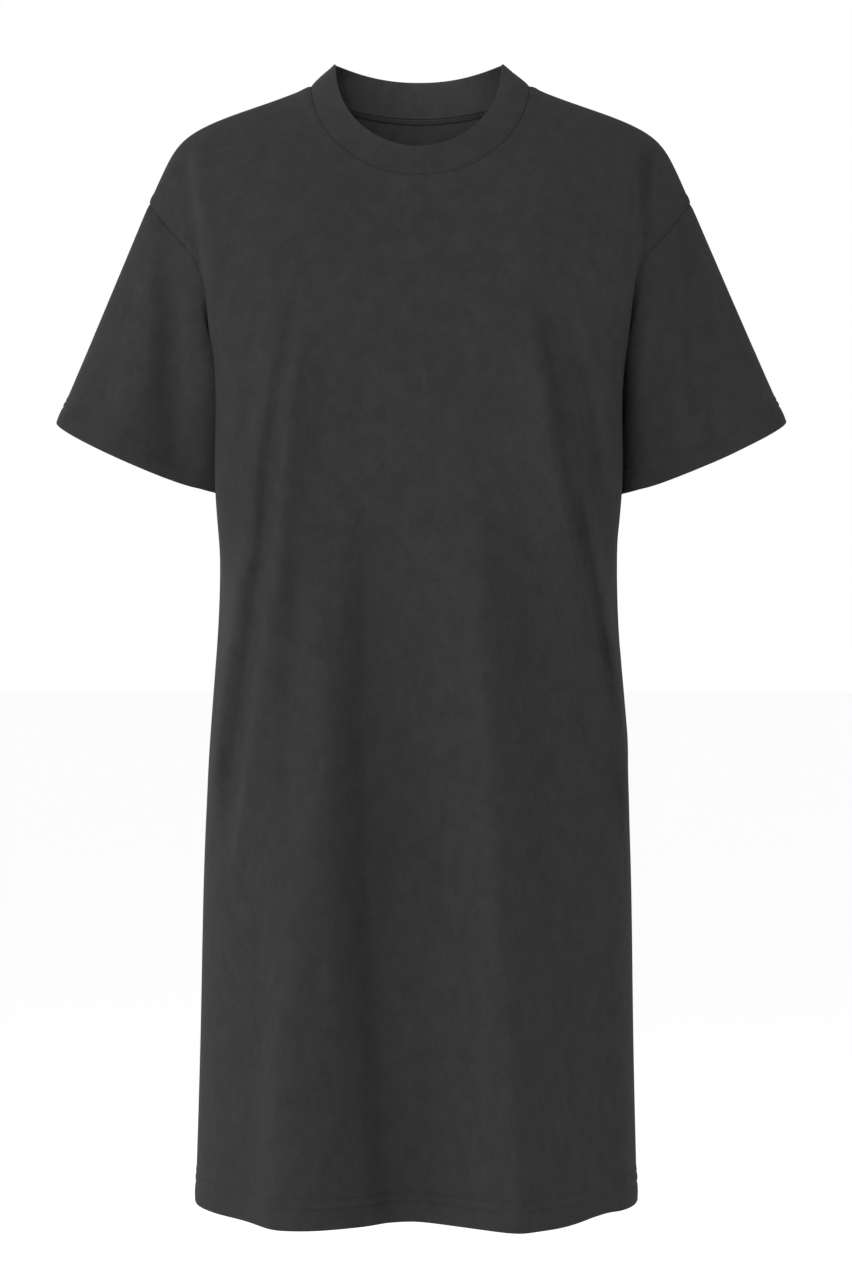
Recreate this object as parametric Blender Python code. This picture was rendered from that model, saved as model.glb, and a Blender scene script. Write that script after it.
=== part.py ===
"""T-shirt dress of jersey, filled out as if worn, hollow, open at neck, hem and cuffs.

The body is one smooth surface, body(u, s). It is read across from the right side (u = -1) to the
left side (u = 1), and up the front (s < 0), over the shoulder line (s = 0) and down the back (s > 0).
|s| is the depth in millimetres below the neck point, taken along the line under the neck point.
The front and the back panel are cut from it, each sleeve is a tube from its armhole to its cuff, and
the neckband is a ring on the neck edge. X is the wearer's left, Y the back and Z up, and the origin
is level with the neck points, in the middle of the shoulder line.
"""
import collections

import bmesh
import bpy
import numpy as np

MM = 0.001
OBJECT_NAME = "tshirt_dress"

# ---- sizes, in millimetres ---------------------------------------------------------------------
WALL = 1.3                  # jersey, a little thicker than real
BAND_WALL = 2.4             # neckband, folded double
BAND_PROUD = 0.5            # how far the band stands out past the panels
TAPE_WALL = 1.0
TAPE_WIDTH = 5.0
TAPE_START = 0.8            # under the neck seam
SEAM_GAP = 0.3              # between neighbouring pieces
MITRE_MOST = 2.2            # limit on the wall's thickness where pieces meet at a sharp angle
CORNER_LEAST = 0.35         # and on the cosine at a panel's sewn corners

HEM = 950.0                 # neck point to hem
UNDERARM = 262.0            # neck point to underarm
YOKE_START = 340.0          # above this depth the rows bend to follow shoulder and neck
NECK_HALF_WIDTH = 93.0
NECK_DROP_FRONT = 90.0
NECK_DROP_BACK = 20.0
BAND_TOP_HALF_WIDTH = 69.0
BAND_TOP_HEIGHT = 16.5      # at the sides of the neck
BAND_TOP_FRONT = (-71.0, -63.0)     # y and z in the middle of the front
BAND_TOP_BACK = (70.0, 11.0)        # y and z in the middle of the back
BAND_TOP_SIDE_Y = 8.0
BAND_BACK_ROUND = 0.8       # below 1 the band's back is rounder than an oval, seen from above
BAND_BACK_DIP = 2.0         # and above 1 its top dips in the middle only

CUFF_CENTRE = (243.0, 0.0, -319.0)
CUFF_HALF_WIDTH = 73.5
CUFF_HALF_DEPTH = 66.0
CUFF_DROP_FRONT = 5.0       # how far the cuff's front hangs below its corners
CUFF_DROP_BACK = 3.0
SLEEVE_LEAN = np.radians(23.8)      # sleeve's axis from the vertical
SWAY = 2.0                  # the dress hangs a touch askew: to the left at the neck, right at the hem
SWAY_TURN = 560.0           # depth at which it doesn't

# ---- sections -----------------------------------------------------------------------------------
# Where five lines run across each half of the body, as shares of the half's width.
STATIONS = np.array([0.0, 0.36, 0.72, 0.87, 1.0])
NECK_STATION = STATIONS[1]
SECTION_ANGLES = np.radians([0.0, 30.0, 59.0, 75.0, 90.0])

Section = collections.namedtuple(
    "Section", "depth half_width front back front_square back_square")
# Below the underarm: rounded oblongs, 2 is an ellipse and 3 is squarer.
SECTIONS = (
    Section(950, 188, 128, 120, 2.00, 2.00),
    Section(800, 184, 126, 117, 2.10, 2.10),
    Section(650, 181, 125, 114, 2.20, 2.20),
    Section(520, 174, 125, 109, 2.40, 2.40),
    Section(430, 169, 127, 105, 2.60, 2.60),
)

Yoke = collections.namedtuple("Yoke", "depth centre neck corner flank edge")
# From the cuffs up to the shoulder: x, y and z where each line crosses. The last point of a row
# lies on the side seam or the armhole. In the neck opening the surface is only a guide.
FRONT_YOKE = (
    Yoke(340, (0, -132, -340), (95, -129, -340), (161, -101, -340), (169, -58, -340), (167, 0, -340)),
    Yoke(262, (0, -137, -262), (94, -134, -262), (159, -104, -262), (165, -60, -262), (159, 0, -262)),
    Yoke(215, (0, -134, -225), (93, -130, -215), (162, -101, -222), (168, -73, -228), (163, -38, -239)),
    Yoke(165, (0, -127, -190), (92, -119, -165), (168, -94, -184), (172, -75, -190), (167, -57, -197)),
    Yoke(115, (0, -115, -152), (93, -99, -115), (176, -79, -139), (182, -67, -149), (184, -55, -159)),
    Yoke(60, (0, -94, -106), (93, -62, -60), (188, -47, -87), (200, -41, -107), (210, -33, -130)),
)
SHOULDER = Yoke(0, (0, 0, 45), (93, 8, -2), (198, 3, -47), (217, 1, -74), (230, 0, -103))
BACK_YOKE = (
    Yoke(60, (0, 88, -50), (93, 66, -60), (188, 49, -87), (200, 43, -107), (210, 35, -131)),
    Yoke(115, (0, 101, -108), (93, 91, -115), (177, 77, -141), (183, 66, -151), (184, 57, -161)),
    Yoke(165, (0, 108, -163), (92, 103, -165), (170, 88, -188), (173, 73, -194), (167, 59, -201)),
    Yoke(215, (0, 111, -214), (92, 108, -215), (161, 91, -225), (167, 68, -231), (163, 38, -241)),
    Yoke(262, (0, 111, -262), (93, 108, -262), (156, 89, -262), (164, 54, -262), (159, 0, -262)),
    Yoke(340, (0, 107, -340), (94, 103, -340), (156, 82, -340), (168, 48, -340), (167, 0, -340)),
)

# ---- folds --------------------------------------------------------------------------------------
# Each runs from its top to its low point, x and z seen from the front. Depth is out of the cloth,
# and below zero it is a hollow.
Fold = collections.namedtuple(
    "Fold", "x_top z_top x_low z_low width_top width_low depth_top depth_low")
FRONT_FOLDS = {
    "lobe on the right": Fold(-98, -360, -87, -950, 34, 43, 5, 44),
    "lobe on the left": Fold(50, -380, 79, -950, 32, 46, 4, 44),
    "hollow in the middle": Fold(-16, -400, -4, -950, 34, 30, -4, -30),
    "outer right pleat": Fold(-104, -250, -150, -590, 15, 17, 6, 6),
    "outer left pleat": Fold(112, -250, 160, -575, 15, 17, 6, 6),
    "hollow beside the right pleat": Fold(-132, -270, -163, -480, 13, 13, -4, -4),
    "hollow beside the left pleat": Fold(136, -262, 165, -470, 13, 13, -5, -4),
    "right chest": Fold(-132, -150, -120, -235, 24, 22, 4, 4),
    "left chest": Fold(140, -95, 104, -235, 26, 26, -4, -3),
}
BACK_FOLDS = {
    "back lobe on the right": Fold(-104, -420, -88, -950, 36, 38, 4, 26),
    "back lobe on the left": Fold(88, -400, 98, -950, 34, 38, 4, 28),
    "back hollow": Fold(10, -430, 4, -950, 38, 32, -4, -14),
    "right blade": Fold(-118, -210, -146, -560, 18, 18, 5, 5),
    "left blade": Fold(112, -225, 150, -540, 17, 18, 5, 5),
}
RIGHT_SLEEVE_FOLDS = {
    "outer ridge": Fold(-226, -140, -236, -300, 14, 17, 3, 4),
    "inner hollow": Fold(-207, -165, -206, -330, 13, 15, -3, -5),
}
LEFT_SLEEVE_FOLDS = {
    "outer ridge": Fold(224, -140, 228, -300, 13, 16, 3, 4),
    "inner hollow": Fold(246, -165, 252, -320, 13, 15, -3, -5),
}
FOLD_FADE = 0.16            # share of a fold's length over which each end fades
EDGE_FADE = 0.10            # share of a panel's half width over which folds rise from its side
SLEEVE_SIDE_FADE = 1 / 3    # folds rise over this much of the sine of the way round the sleeve
SLEEVE_TOP_FADE = 1 / 4     # and over this share of its length

# ---- grids --------------------------------------------------------------------------------------
NECK_COLUMNS = 12           # half the neck edge of one panel
SHOULDER_COLUMNS = 8        # one shoulder seam
SKIRT_ROWS = 18             # hem to YOKE_START
SIDE_ROWS = 3               # YOKE_START to underarm
ARMHOLE_ROWS = 13           # underarm to shoulder
SLEEVE_ROWS = 9
BAND_ROWS = 4
HALVINGS = 30               # of the search for the neck edge
U_STEP = 0.004              # steps of the differences that give the normals
S_STEP = 1.0
DOWN_STEP = 0.01

# ---- cloth --------------------------------------------------------------------------------------
CHARCOAL = (0.037, 0.037, 0.038, 1.0)
RIB_CHARCOAL = (0.039, 0.039, 0.040, 1.0)
TAPE_CHARCOAL = (0.033, 0.033, 0.034, 1.0)
MATT = 0.95
SHARP_ANGLE = np.radians(50)


def spline_weights(knots, places):
    """Rows of weights that a natural cubic spline through the knots gives each knot's value."""
    knots = np.asarray(knots, float)
    places = np.clip(np.asarray(places, float), knots[0], knots[-1])
    count = len(knots)
    step = np.diff(knots)
    bend = np.eye(count)
    rise = np.zeros((count, count))
    for k in range(1, count - 1):
        bend[k, k - 1:k + 2] = step[k - 1], 2 * (step[k - 1] + step[k]), step[k]
        rise[k, k - 1] = 6 / step[k - 1]
        rise[k, k] = -6 / step[k - 1] - 6 / step[k]
        rise[k, k + 1] = 6 / step[k]
    second = np.linalg.solve(bend, rise)
    low = np.clip(np.searchsorted(knots, places, side="right") - 1, 0, count - 2)
    width = step[low]
    b = (places - knots[low]) / width
    a = 1 - b
    own = np.eye(count)
    swing_a = ((a ** 3 - a) * width ** 2 / 6)[:, None]
    swing_b = ((b ** 3 - b) * width ** 2 / 6)[:, None]
    return (a[:, None] * own[low] + b[:, None] * own[low + 1]
            + swing_a * second[low] + swing_b * second[low + 1])


def smoothstep(x):
    """0 up to x = 0, 1 from x = 1, and a soft rise between."""
    x = np.clip(x, 0.0, 1.0)
    return x * x * (3 - 2 * x)


def unit(vectors):
    return vectors / np.linalg.norm(vectors, axis=-1, keepdims=True)


def sway(points):
    """The points moved sideways, as the dress hangs."""
    shift = SWAY * (1 + points[:, 2:] / SWAY_TURN)
    return points + shift * (1.0, 0.0, 0.0)


# ---- the body's surface --------------------------------------------------------------------------
def section_points(section, back):
    """The five points of half a section below the underarm."""
    square = section.back_square if back else section.front_square
    reach = section.back if back else -section.front
    x = section.half_width * np.sin(SECTION_ANGLES) ** (2 / square)
    y = reach * np.cos(SECTION_ANGLES) ** (2 / square)
    y[-1] = 0.0
    return [(px, py, -section.depth) for px, py in zip(x, y)]


def net():
    """Places s of the rows, and the five points of each, from the front hem to the back hem."""
    front = [(-row.depth, section_points(row, False)) for row in SECTIONS]
    front += [(-row.depth, list(row[1:])) for row in FRONT_YOKE]
    back = [(row.depth, list(row[1:])) for row in BACK_YOKE]
    back += [(row.depth, section_points(row, True)) for row in reversed(SECTIONS)]
    rows = front + [(0.0, list(SHOULDER[1:]))] + back
    places = np.array([place for place, _ in rows], float)
    points = np.array([point for _, point in rows], float)
    return places, points


ROW_PLACES, ROW_POINTS = net()
NECK = slice(SHOULDER_COLUMNS, SHOULDER_COLUMNS + 2 * NECK_COLUMNS + 1)     # its columns in a panel


def line_at(station, s):
    """Points of one of the five lines. The edge line turns sharply at the underarm."""
    values = ROW_POINTS[:, station]
    if station < len(STATIONS) - 1:
        return spline_weights(ROW_PLACES, s) @ values
    result = np.zeros((len(s), 3))
    spans = ((-HEM, -UNDERARM), (-UNDERARM, UNDERARM), (UNDERARM, HEM))
    for low, high in spans:
        own = (ROW_PLACES >= low) & (ROW_PLACES <= high)
        here = (s >= low) & (s <= high)
        if here.any():
            result[here] = spline_weights(ROW_PLACES[own], s[here]) @ values[own]
    return result


def plain_body(u, s):
    """The body without folds. u and s are arrays of one length."""
    lines = np.stack([line_at(k, s) for k in range(len(STATIONS))], axis=1)
    mirrored = lines[:, :0:-1] * (-1, 1, 1)
    across = np.concatenate([mirrored, lines], axis=1)
    knots = np.concatenate([-STATIONS[:0:-1], STATIONS])
    return sway(np.einsum("nk,nkc->nc", spline_weights(knots, u), across))


def fold_height(folds, x, z):
    """How far the folds lift the cloth at x and z, as seen from the front."""
    height = np.zeros_like(x)
    for fold in folds.values():
        run = (fold.z_top - z) / (fold.z_top - fold.z_low)
        along = np.clip(run, 0.0, 1.0)
        path = fold.x_top + (fold.x_low - fold.x_top) * run
        width = fold.width_top + (fold.width_low - fold.width_top) * along
        depth = fold.depth_top + (fold.depth_low - fold.depth_top) * along
        fade = smoothstep(run / FOLD_FADE + 0.5)
        if fold.z_low > -HEM:
            fade = fade * smoothstep((1 - run) / FOLD_FADE + 0.5)
        height += depth * fade * np.exp(-((x - path) / width) ** 2)
    return height


def slopes(surface, first, second, first_step, second_step, first_range, second_range):
    """Unit normals of surface(first, second) by differences that stay inside its ranges."""
    low_a = np.clip(first - first_step, *first_range)
    high_a = np.clip(first + first_step, *first_range)
    low_b = np.clip(second - second_step, *second_range)
    high_b = np.clip(second + second_step, *second_range)
    along_a = surface(high_a, second) - surface(low_a, second)
    along_b = surface(first, high_b) - surface(first, low_b)
    return unit(np.cross(along_a, along_b))


def panel_range(s):
    """The front or the back, whichever s lies on, so that differences stay on that panel."""
    return (-HEM, 0.0) if np.mean(s) < 0 else (0.0, HEM)


def plain_normals(u, s):
    return slopes(plain_body, u, s, U_STEP, S_STEP, (-1.0, 1.0), panel_range(s))


def body(u, s):
    """The body with its folds. All the s lie on one panel."""
    points = plain_body(u, s)
    folds = FRONT_FOLDS if np.mean(s) < 0 else BACK_FOLDS
    height = fold_height(folds, points[:, 0], points[:, 2])
    height *= smoothstep((1 - np.abs(u)) / EDGE_FADE)
    height *= smoothstep(np.abs(s) / UNDERARM)
    return points + plain_normals(u, s) * height[:, None]


def body_normals(u, s):
    return slopes(body, u, s, U_STEP, S_STEP, (-1.0, 1.0), panel_range(s))


# ---- where the rows end --------------------------------------------------------------------------
def half_columns():
    """u of the columns from the middle to the side. One of them meets the neck point."""
    share = np.linspace(0, 1, NECK_COLUMNS + 1)
    neck = NECK_STATION * (0.5 * share + 0.5 * np.sin(share * np.pi / 2))
    shoulder = np.linspace(NECK_STATION, 1, SHOULDER_COLUMNS + 1)
    return np.concatenate([neck, shoulder[1:]])


def neck_line(x, drop):
    """Height of the neck edge at x, seen from the front."""
    share = np.clip(1 - ((x - SWAY) / NECK_HALF_WIDTH) ** 2, 0, 1)
    return -drop * np.sqrt(share)


def top_places(u, side):
    """s where each column ends: on the shoulder line, or on the neck edge by halving steps."""
    drop = NECK_DROP_FRONT if side < 0 else NECK_DROP_BACK
    low = np.full(len(u), UNDERARM)
    high = np.zeros(len(u))
    for _ in range(HALVINGS):
        middle = (low + high) / 2
        points = plain_body(u, side * middle)
        under = points[:, 2] < neck_line(points[:, 0], drop)
        low = np.where(under, middle, low)
        high = np.where(under, high, middle)
    inside = np.abs(u) < NECK_STATION - 1e-9
    return np.where(inside, (low + high) / 2, 0.0)


def panel_places(side):
    """Grids of u and s for the front (side -1) or the back (side 1): columns by rows."""
    half = half_columns()
    u = np.concatenate([-half[:0:-1], half])
    top = top_places(u, side)
    skirt = np.linspace(HEM, YOKE_START, SKIRT_ROWS + 1)
    flank = np.linspace(YOKE_START, UNDERARM, SIDE_ROWS + 1)[1:]
    share = np.linspace(0, 1, ARMHOLE_ROWS + 1)[1:]
    rows = []
    for column_top in top:
        bodice = UNDERARM + (column_top - UNDERARM) * share
        rows.append(np.concatenate([skirt, flank, bodice]))
    s = side * np.array(rows)
    return np.repeat(u[:, None], s.shape[1], axis=1), s


# ---- sleeves -------------------------------------------------------------------------------------
def armhole_places():
    """s round the armhole: underarm, front, shoulder, back, underarm."""
    share = np.linspace(0, 1, ARMHOLE_ROWS + 1)
    front = -UNDERARM * (1 - share)
    return np.concatenate([front, -front[-2::-1]])


def ring_share(side):
    """Share of the way round the armhole for each of its places, half of it on the front."""
    s = armhole_places()
    ring = plain_body(np.full(len(s), float(side)), s)
    length = np.concatenate([[0], np.cumsum(np.linalg.norm(np.diff(ring, axis=0), axis=1))])
    middle = length[ARMHOLE_ROWS]
    front = 0.5 * length / middle
    back = 0.5 + 0.5 * (length - middle) / (length[-1] - middle)
    return s, np.where(s <= 0, front, back)


def cuff(side, share):
    """Points of the cuff: the inner corner, the front, the outer corner and the back."""
    angle = 2 * np.pi * share
    along = np.array([side * np.sin(SLEEVE_LEAN), 0, -np.cos(SLEEVE_LEAN)])
    inward = np.array([-side * np.cos(SLEEVE_LEAN), 0, -np.sin(SLEEVE_LEAN)])
    backward = np.array([0, 1, 0])
    drop = np.where(share < 0.5, CUFF_DROP_FRONT, CUFF_DROP_BACK) * np.abs(np.sin(angle))
    centre = np.array(CUFF_CENTRE) * (side, 1, 1)
    return sway(centre
                + np.outer(CUFF_HALF_WIDTH * np.cos(angle), inward)
                + np.outer(-CUFF_HALF_DEPTH * np.sin(angle), backward)
                + np.outer(drop, along))


def make_sleeve(side):
    """The sleeve as a function of the share round it and the share down it."""
    places, shares = ring_share(side)
    folds = LEFT_SLEEVE_FOLDS if side > 0 else RIGHT_SLEEVE_FOLDS

    def plain(around, down):
        s = np.interp(around, shares, places)
        ring = plain_body(np.full(len(s), float(side)), s)
        return ring * (1 - down)[:, None] + cuff(side, around) * down[:, None]

    def sleeve(around, down):
        points = plain(around, down)
        outward = -side * slopes(plain, around, down, U_STEP, DOWN_STEP, (0.0, 1.0), (0.0, 1.0))
        height = fold_height(folds, points[:, 0], points[:, 2])
        height *= smoothstep(np.sin(2 * np.pi * around) / SLEEVE_SIDE_FADE)
        height *= smoothstep(down / SLEEVE_TOP_FADE)
        return points + outward * height[:, None]

    def normals(around, down):
        return -side * slopes(sleeve, around, down, U_STEP, DOWN_STEP, (0.0, 1.0), (0.0, 1.0))

    return sleeve, normals, shares


# ---- walls ---------------------------------------------------------------------------------------
def inward_steps(points, normals, beside, closed):
    """For each point of a sewn edge, the step of half a seam gap into its piece.

    beside holds the piece's own point next to each point of the edge.
    """
    count = len(points)
    steps = np.zeros_like(points)
    for k in range(count):
        pushes = []
        for low, high in ((k - 1, k), (k, k + 1)):
            if not closed and (low < 0 or high == count):
                continue
            push = unit(np.cross(normals[k], points[high % count] - points[low]))
            if np.dot(push, beside[k] - points[k]) < 0:
                push = -push
            pushes.append(push)
        mean = unit(np.sum(pushes, axis=0))
        steps[k] = mean * (SEAM_GAP / 2) / max(CORNER_LEAST, np.dot(mean, pushes[0]))
    return steps


def wall_faces(columns, rows, closed):
    """A grid of quads extruded into a wall, with each vertex's column, row and layer."""
    mesh = bmesh.new()
    bmesh.ops.create_grid(mesh, x_segments=columns, y_segments=rows, size=1.0)
    column_of = mesh.verts.layers.int.new("column")
    row_of = mesh.verts.layers.int.new("row")
    layer_of = mesh.verts.layers.int.new("layer")
    for vertex in mesh.verts:
        vertex[column_of] = round((vertex.co.x + 1) / 2 * columns)
        vertex[row_of] = round((vertex.co.y + 1) / 2 * rows)
    if closed:
        first = {v[row_of]: v for v in mesh.verts if v[column_of] == 0}
        last = [v for v in mesh.verts if v[column_of] == columns]
        bmesh.ops.weld_verts(mesh, targetmap={v: first[v[row_of]] for v in last})
    grown = bmesh.ops.extrude_face_region(mesh, geom=mesh.faces[:])
    for item in grown["geom"]:
        if isinstance(item, bmesh.types.BMVert):
            item[layer_of] = 1
    return mesh, column_of, row_of, layer_of


def add_wall(name, outer, inner, closed, material, collection):
    """A closed wall between two grids of points, in millimetres."""
    columns, rows = outer.shape[0] - 1, outer.shape[1] - 1
    mesh, column_of, row_of, layer_of = wall_faces(columns, rows, closed)
    for vertex in mesh.verts:
        layer = inner if vertex[layer_of] else outer
        vertex.co = layer[vertex[column_of], vertex[row_of]] * MM
    for layer in (column_of, row_of, layer_of):
        mesh.verts.layers.int.remove(layer)
    bmesh.ops.triangulate(mesh, faces=mesh.faces[:], quad_method="SHORT_EDGE")
    bmesh.ops.recalc_face_normals(mesh, faces=mesh.faces[:])
    data = bpy.data.meshes.new(name)
    mesh.to_mesh(data)
    mesh.free()
    data.materials.append(material)
    data.shade_smooth()
    data.set_sharp_from_angle(angle=SHARP_ANGLE)
    collection.objects.link(bpy.data.objects.new(name, data))


def make_material(name, colour):
    material = bpy.data.materials.new(name)
    material.use_nodes = True
    shader = material.node_tree.nodes["Principled BSDF"]
    shader.inputs["Base Color"].default_value = colour
    shader.inputs["Roughness"].default_value = MATT
    shader.inputs["Metallic"].default_value = 0.0
    return material


# ---- shared normals at the seams -----------------------------------------------------------------
def side_seam_normals(side, depth):
    """Between the front and the back panel, at depths below the underarm."""
    u = np.full(len(depth), float(side))
    return unit(body_normals(u, -depth) + body_normals(u, depth))


def armhole_normals(side, sleeve_normals, shares):
    """Between body and sleeve, round the armhole."""
    s = armhole_places()
    u = np.full(len(s), float(side))
    front = s <= 0
    own = np.zeros((len(s), 3))
    own[front] = body_normals(u[front], s[front])
    own[~front] = body_normals(u[~front], s[~front])
    mine = sleeve_normals(shares, np.zeros(len(shares)))
    shared = unit(own + mine)
    shared[0] = unit(shared[0] + shared[-1])
    shared[-1] = shared[0]
    return shared


def thick(own, shared, wall):
    """The wall's thickness along a shared normal, kept true to the piece's own face."""
    cosine = np.sum(own * shared, axis=-1, keepdims=True)
    return wall * np.clip(1 / np.maximum(cosine, 1e-3), 1.0, MITRE_MOST)


class Panel:
    """The front or back panel's grid: points, own normals and normals shared at the seams."""

    def __init__(self, side, armholes, band_normals):
        u, s = panel_places(side)
        shape = u.shape + (3,)
        self.points = body(u.ravel(), s.ravel()).reshape(shape)
        self.own = body_normals(u.ravel(), s.ravel()).reshape(shape)
        self.shared = self.own.copy()
        underarm = SKIRT_ROWS + SIDE_ROWS
        depth = np.abs(s[0, :underarm + 1])
        for column, hand in ((0, -1), (-1, 1)):
            self.shared[column, :underarm + 1] = side_seam_normals(hand, depth)
            half = armholes[hand][:ARMHOLE_ROWS + 1]
            if side > 0:
                half = armholes[hand][:ARMHOLE_ROWS - 1:-1]
            self.shared[column, underarm:] = half
        self.shared[NECK, -1] = unit(self.own[NECK, -1] + band_normals)

    def wall(self):
        """Outer and inner points, half a seam gap short of the neighbours on three sides."""
        columns, rows = self.points.shape[:2]
        last, top = columns - 1, rows - 1
        edge = [(0, row) for row in range(rows)]
        edge += [(column, top) for column in range(1, columns)]
        edge += [(last, row) for row in range(top - 1, -1, -1)]
        beside = [(min(max(column, 1), last - 1), min(row, top - 1)) for column, row in edge]
        at, near = tuple(zip(*edge)), tuple(zip(*beside))
        points = self.points.copy()
        points[at] += inward_steps(self.points[at], self.shared[at], self.points[near], False)
        return points, points - self.shared * thick(self.own, self.shared, WALL)


def neck_ring():
    """The neck edge, the band's top above it and the band's normals, all round from the right."""
    front_u, front_s = panel_places(-1)
    back_u, back_s = panel_places(1)
    front = body(front_u[NECK, -1], front_s[NECK, -1])
    back = body(back_u[NECK, -1], back_s[NECK, -1])
    low = np.concatenate([front, back[-2:0:-1]])
    share = np.clip((low[:, 0] - SWAY) / NECK_HALF_WIDTH, -1, 1)
    lift = np.sqrt(1 - share ** 2)
    at_back = np.arange(len(low)) > 2 * NECK_COLUMNS
    front_y = BAND_TOP_SIDE_Y + (BAND_TOP_FRONT[0] - BAND_TOP_SIDE_Y) * lift
    back_y = BAND_TOP_SIDE_Y + (BAND_TOP_BACK[0] - BAND_TOP_SIDE_Y) * lift ** BAND_BACK_ROUND
    front_z = BAND_TOP_HEIGHT + (BAND_TOP_FRONT[1] - BAND_TOP_HEIGHT) * lift
    back_z = BAND_TOP_HEIGHT + (BAND_TOP_BACK[1] - BAND_TOP_HEIGHT) * lift ** BAND_BACK_DIP
    y = np.where(at_back, back_y, front_y)
    z = np.where(at_back, back_z, front_z)
    top = sway(np.stack([BAND_TOP_HALF_WIDTH * share, y, z], axis=1))
    along = np.roll(low, -1, axis=0) - np.roll(low, 1, axis=0)
    return low, top, unit(np.cross(along, top - low))


def build_band(low, top, own, shared, material, collection):
    """The band's wall from the neck edge up to its fold."""
    steps = inward_steps(low, shared, top, True)
    share = np.linspace(0, 1, BAND_ROWS + 1)[None, :, None]
    start = (low + steps)[:, None, :]
    rings = start * (1 - share) + top[:, None, :] * share
    normals = unit(shared[:, None, :] * (1 - share) + own[:, None, :] * share)
    outer = rings + normals * BAND_PROUD
    inner = rings + normals * (BAND_PROUD - BAND_WALL)
    outer = np.concatenate([outer, outer[:1]])
    inner = np.concatenate([inner, inner[:1]])
    add_wall("neckband", outer, inner, True, material, collection)


def build_tape(back, inner, material, collection):
    """The narrow tape inside the back, just under the neck seam, laid along the panel's inner face."""
    columns = slice(NECK.start + 1, NECK.stop - 1)
    edge, below = inner[columns, -1], inner[columns, -2]
    normals = back.shared[columns, -1]
    length = np.linalg.norm(below - edge, axis=1, keepdims=True)
    start = edge + (below - edge) * TAPE_START / length
    end = edge + (below - edge) * (TAPE_START + TAPE_WIDTH) / length
    face = np.stack([start, end], axis=1) - normals[:, None, :] * SEAM_GAP
    add_wall("neck_tape", face, face - normals[:, None, :] * TAPE_WALL, False, material, collection)


def build_sleeve(name, side, sleeve, normals, shares, shared, material, collection):
    """One sleeve's wall, from the armhole to the cuff."""
    down = np.linspace(0, 1, SLEEVE_ROWS + 1)
    around_grid, down_grid = np.meshgrid(shares, down, indexing="ij")
    shape = around_grid.shape + (3,)
    points = sleeve(around_grid.ravel(), down_grid.ravel()).reshape(shape)
    own = normals(around_grid.ravel(), down_grid.ravel()).reshape(shape)
    own[-1] = own[0] = unit(own[0] + own[-1])
    face = own.copy()
    face[:, 0] = shared
    points[-1] = points[0]
    points[:-1, 0] += inward_steps(points[:-1, 0], shared[:-1], points[:-1, 1], True)
    points[-1, 0] = points[0, 0]
    inner = points - face * thick(own, face, WALL)
    add_wall(name, points, inner, True, material, collection)


def clear_scene():
    for item in list(bpy.data.objects):
        bpy.data.objects.remove(item, do_unlink=True)


def main():
    clear_scene()
    collection = bpy.data.collections.new(OBJECT_NAME)
    bpy.context.scene.collection.children.link(collection)
    jersey = make_material("charcoal_jersey", CHARCOAL)
    rib = make_material("charcoal_rib", RIB_CHARCOAL)
    tape = make_material("charcoal_tape", TAPE_CHARCOAL)

    sleeves = {hand: make_sleeve(hand) for hand in (-1, 1)}
    armholes = {hand: armhole_normals(hand, made[1], made[2]) for hand, made in sleeves.items()}
    low, top, band_own = neck_ring()
    last = 2 * NECK_COLUMNS
    front = Panel(-1, armholes, band_own[:last + 1])
    back_order = np.concatenate([[0], np.arange(len(low) - 1, last, -1), [last]])
    back = Panel(1, armholes, band_own[back_order])
    band_shared = np.concatenate([front.shared[NECK, -1], back.shared[NECK, -1][-2:0:-1]])
    for neck_point, column in ((0, NECK.start), (last, NECK.stop - 1)):
        shared = unit(front.shared[column, -1] + back.shared[column, -1])
        front.shared[column, -1] = back.shared[column, -1] = band_shared[neck_point] = shared

    for name, panel in (("front_panel", front), ("back_panel", back)):
        outer, inner = panel.wall()
        add_wall(name, outer, inner, False, jersey, collection)
    build_tape(back, inner, tape, collection)
    for name, hand in (("right_sleeve", -1), ("left_sleeve", 1)):
        sleeve, normals, shares = sleeves[hand]
        build_sleeve(name, hand, sleeve, normals, shares, armholes[hand], jersey, collection)
    build_band(low, top, band_own, band_shared, rib, collection)


main()
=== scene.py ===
"""T-shirt dress of charcoal jersey, filled out as if worn: shells with folds, seams and stitching.

Lengths are in millimetres here, and in metres in the mesh and in the sidebar. The body is one
smooth surface, body(u, s, side), from which the front and the back are cut. u runs from the right
side seam (-1) to the left (1), and |s| is the depth below the neck point, on the front (side -1) or
the back (side 1). A sleeve runs from its armhole to its cuff, and the neckband stands on the neck edge.
"""

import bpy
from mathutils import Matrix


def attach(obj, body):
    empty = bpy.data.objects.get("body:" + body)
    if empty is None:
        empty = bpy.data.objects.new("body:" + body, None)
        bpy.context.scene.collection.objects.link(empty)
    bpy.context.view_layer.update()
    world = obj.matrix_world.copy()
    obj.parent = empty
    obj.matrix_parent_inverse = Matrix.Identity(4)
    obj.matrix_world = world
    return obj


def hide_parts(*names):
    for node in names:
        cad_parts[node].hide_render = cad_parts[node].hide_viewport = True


bl_info = {
    "name": "T-shirt Dress",
    "version": (1, 0, 0),
    "blender": (4, 5, 0),
    "location": "View3D > Sidebar > Dress",
    "description": "Sews a jersey T-shirt dress over its frame, with its hems and stitching",
    "category": "Mesh",
}

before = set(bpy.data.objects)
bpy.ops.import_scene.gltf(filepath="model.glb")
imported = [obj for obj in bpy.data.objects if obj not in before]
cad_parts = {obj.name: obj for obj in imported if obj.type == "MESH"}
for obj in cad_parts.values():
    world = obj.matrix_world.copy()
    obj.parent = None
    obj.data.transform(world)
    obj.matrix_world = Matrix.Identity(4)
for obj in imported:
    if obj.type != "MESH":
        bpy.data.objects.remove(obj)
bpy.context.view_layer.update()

import collections
import functools

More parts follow.
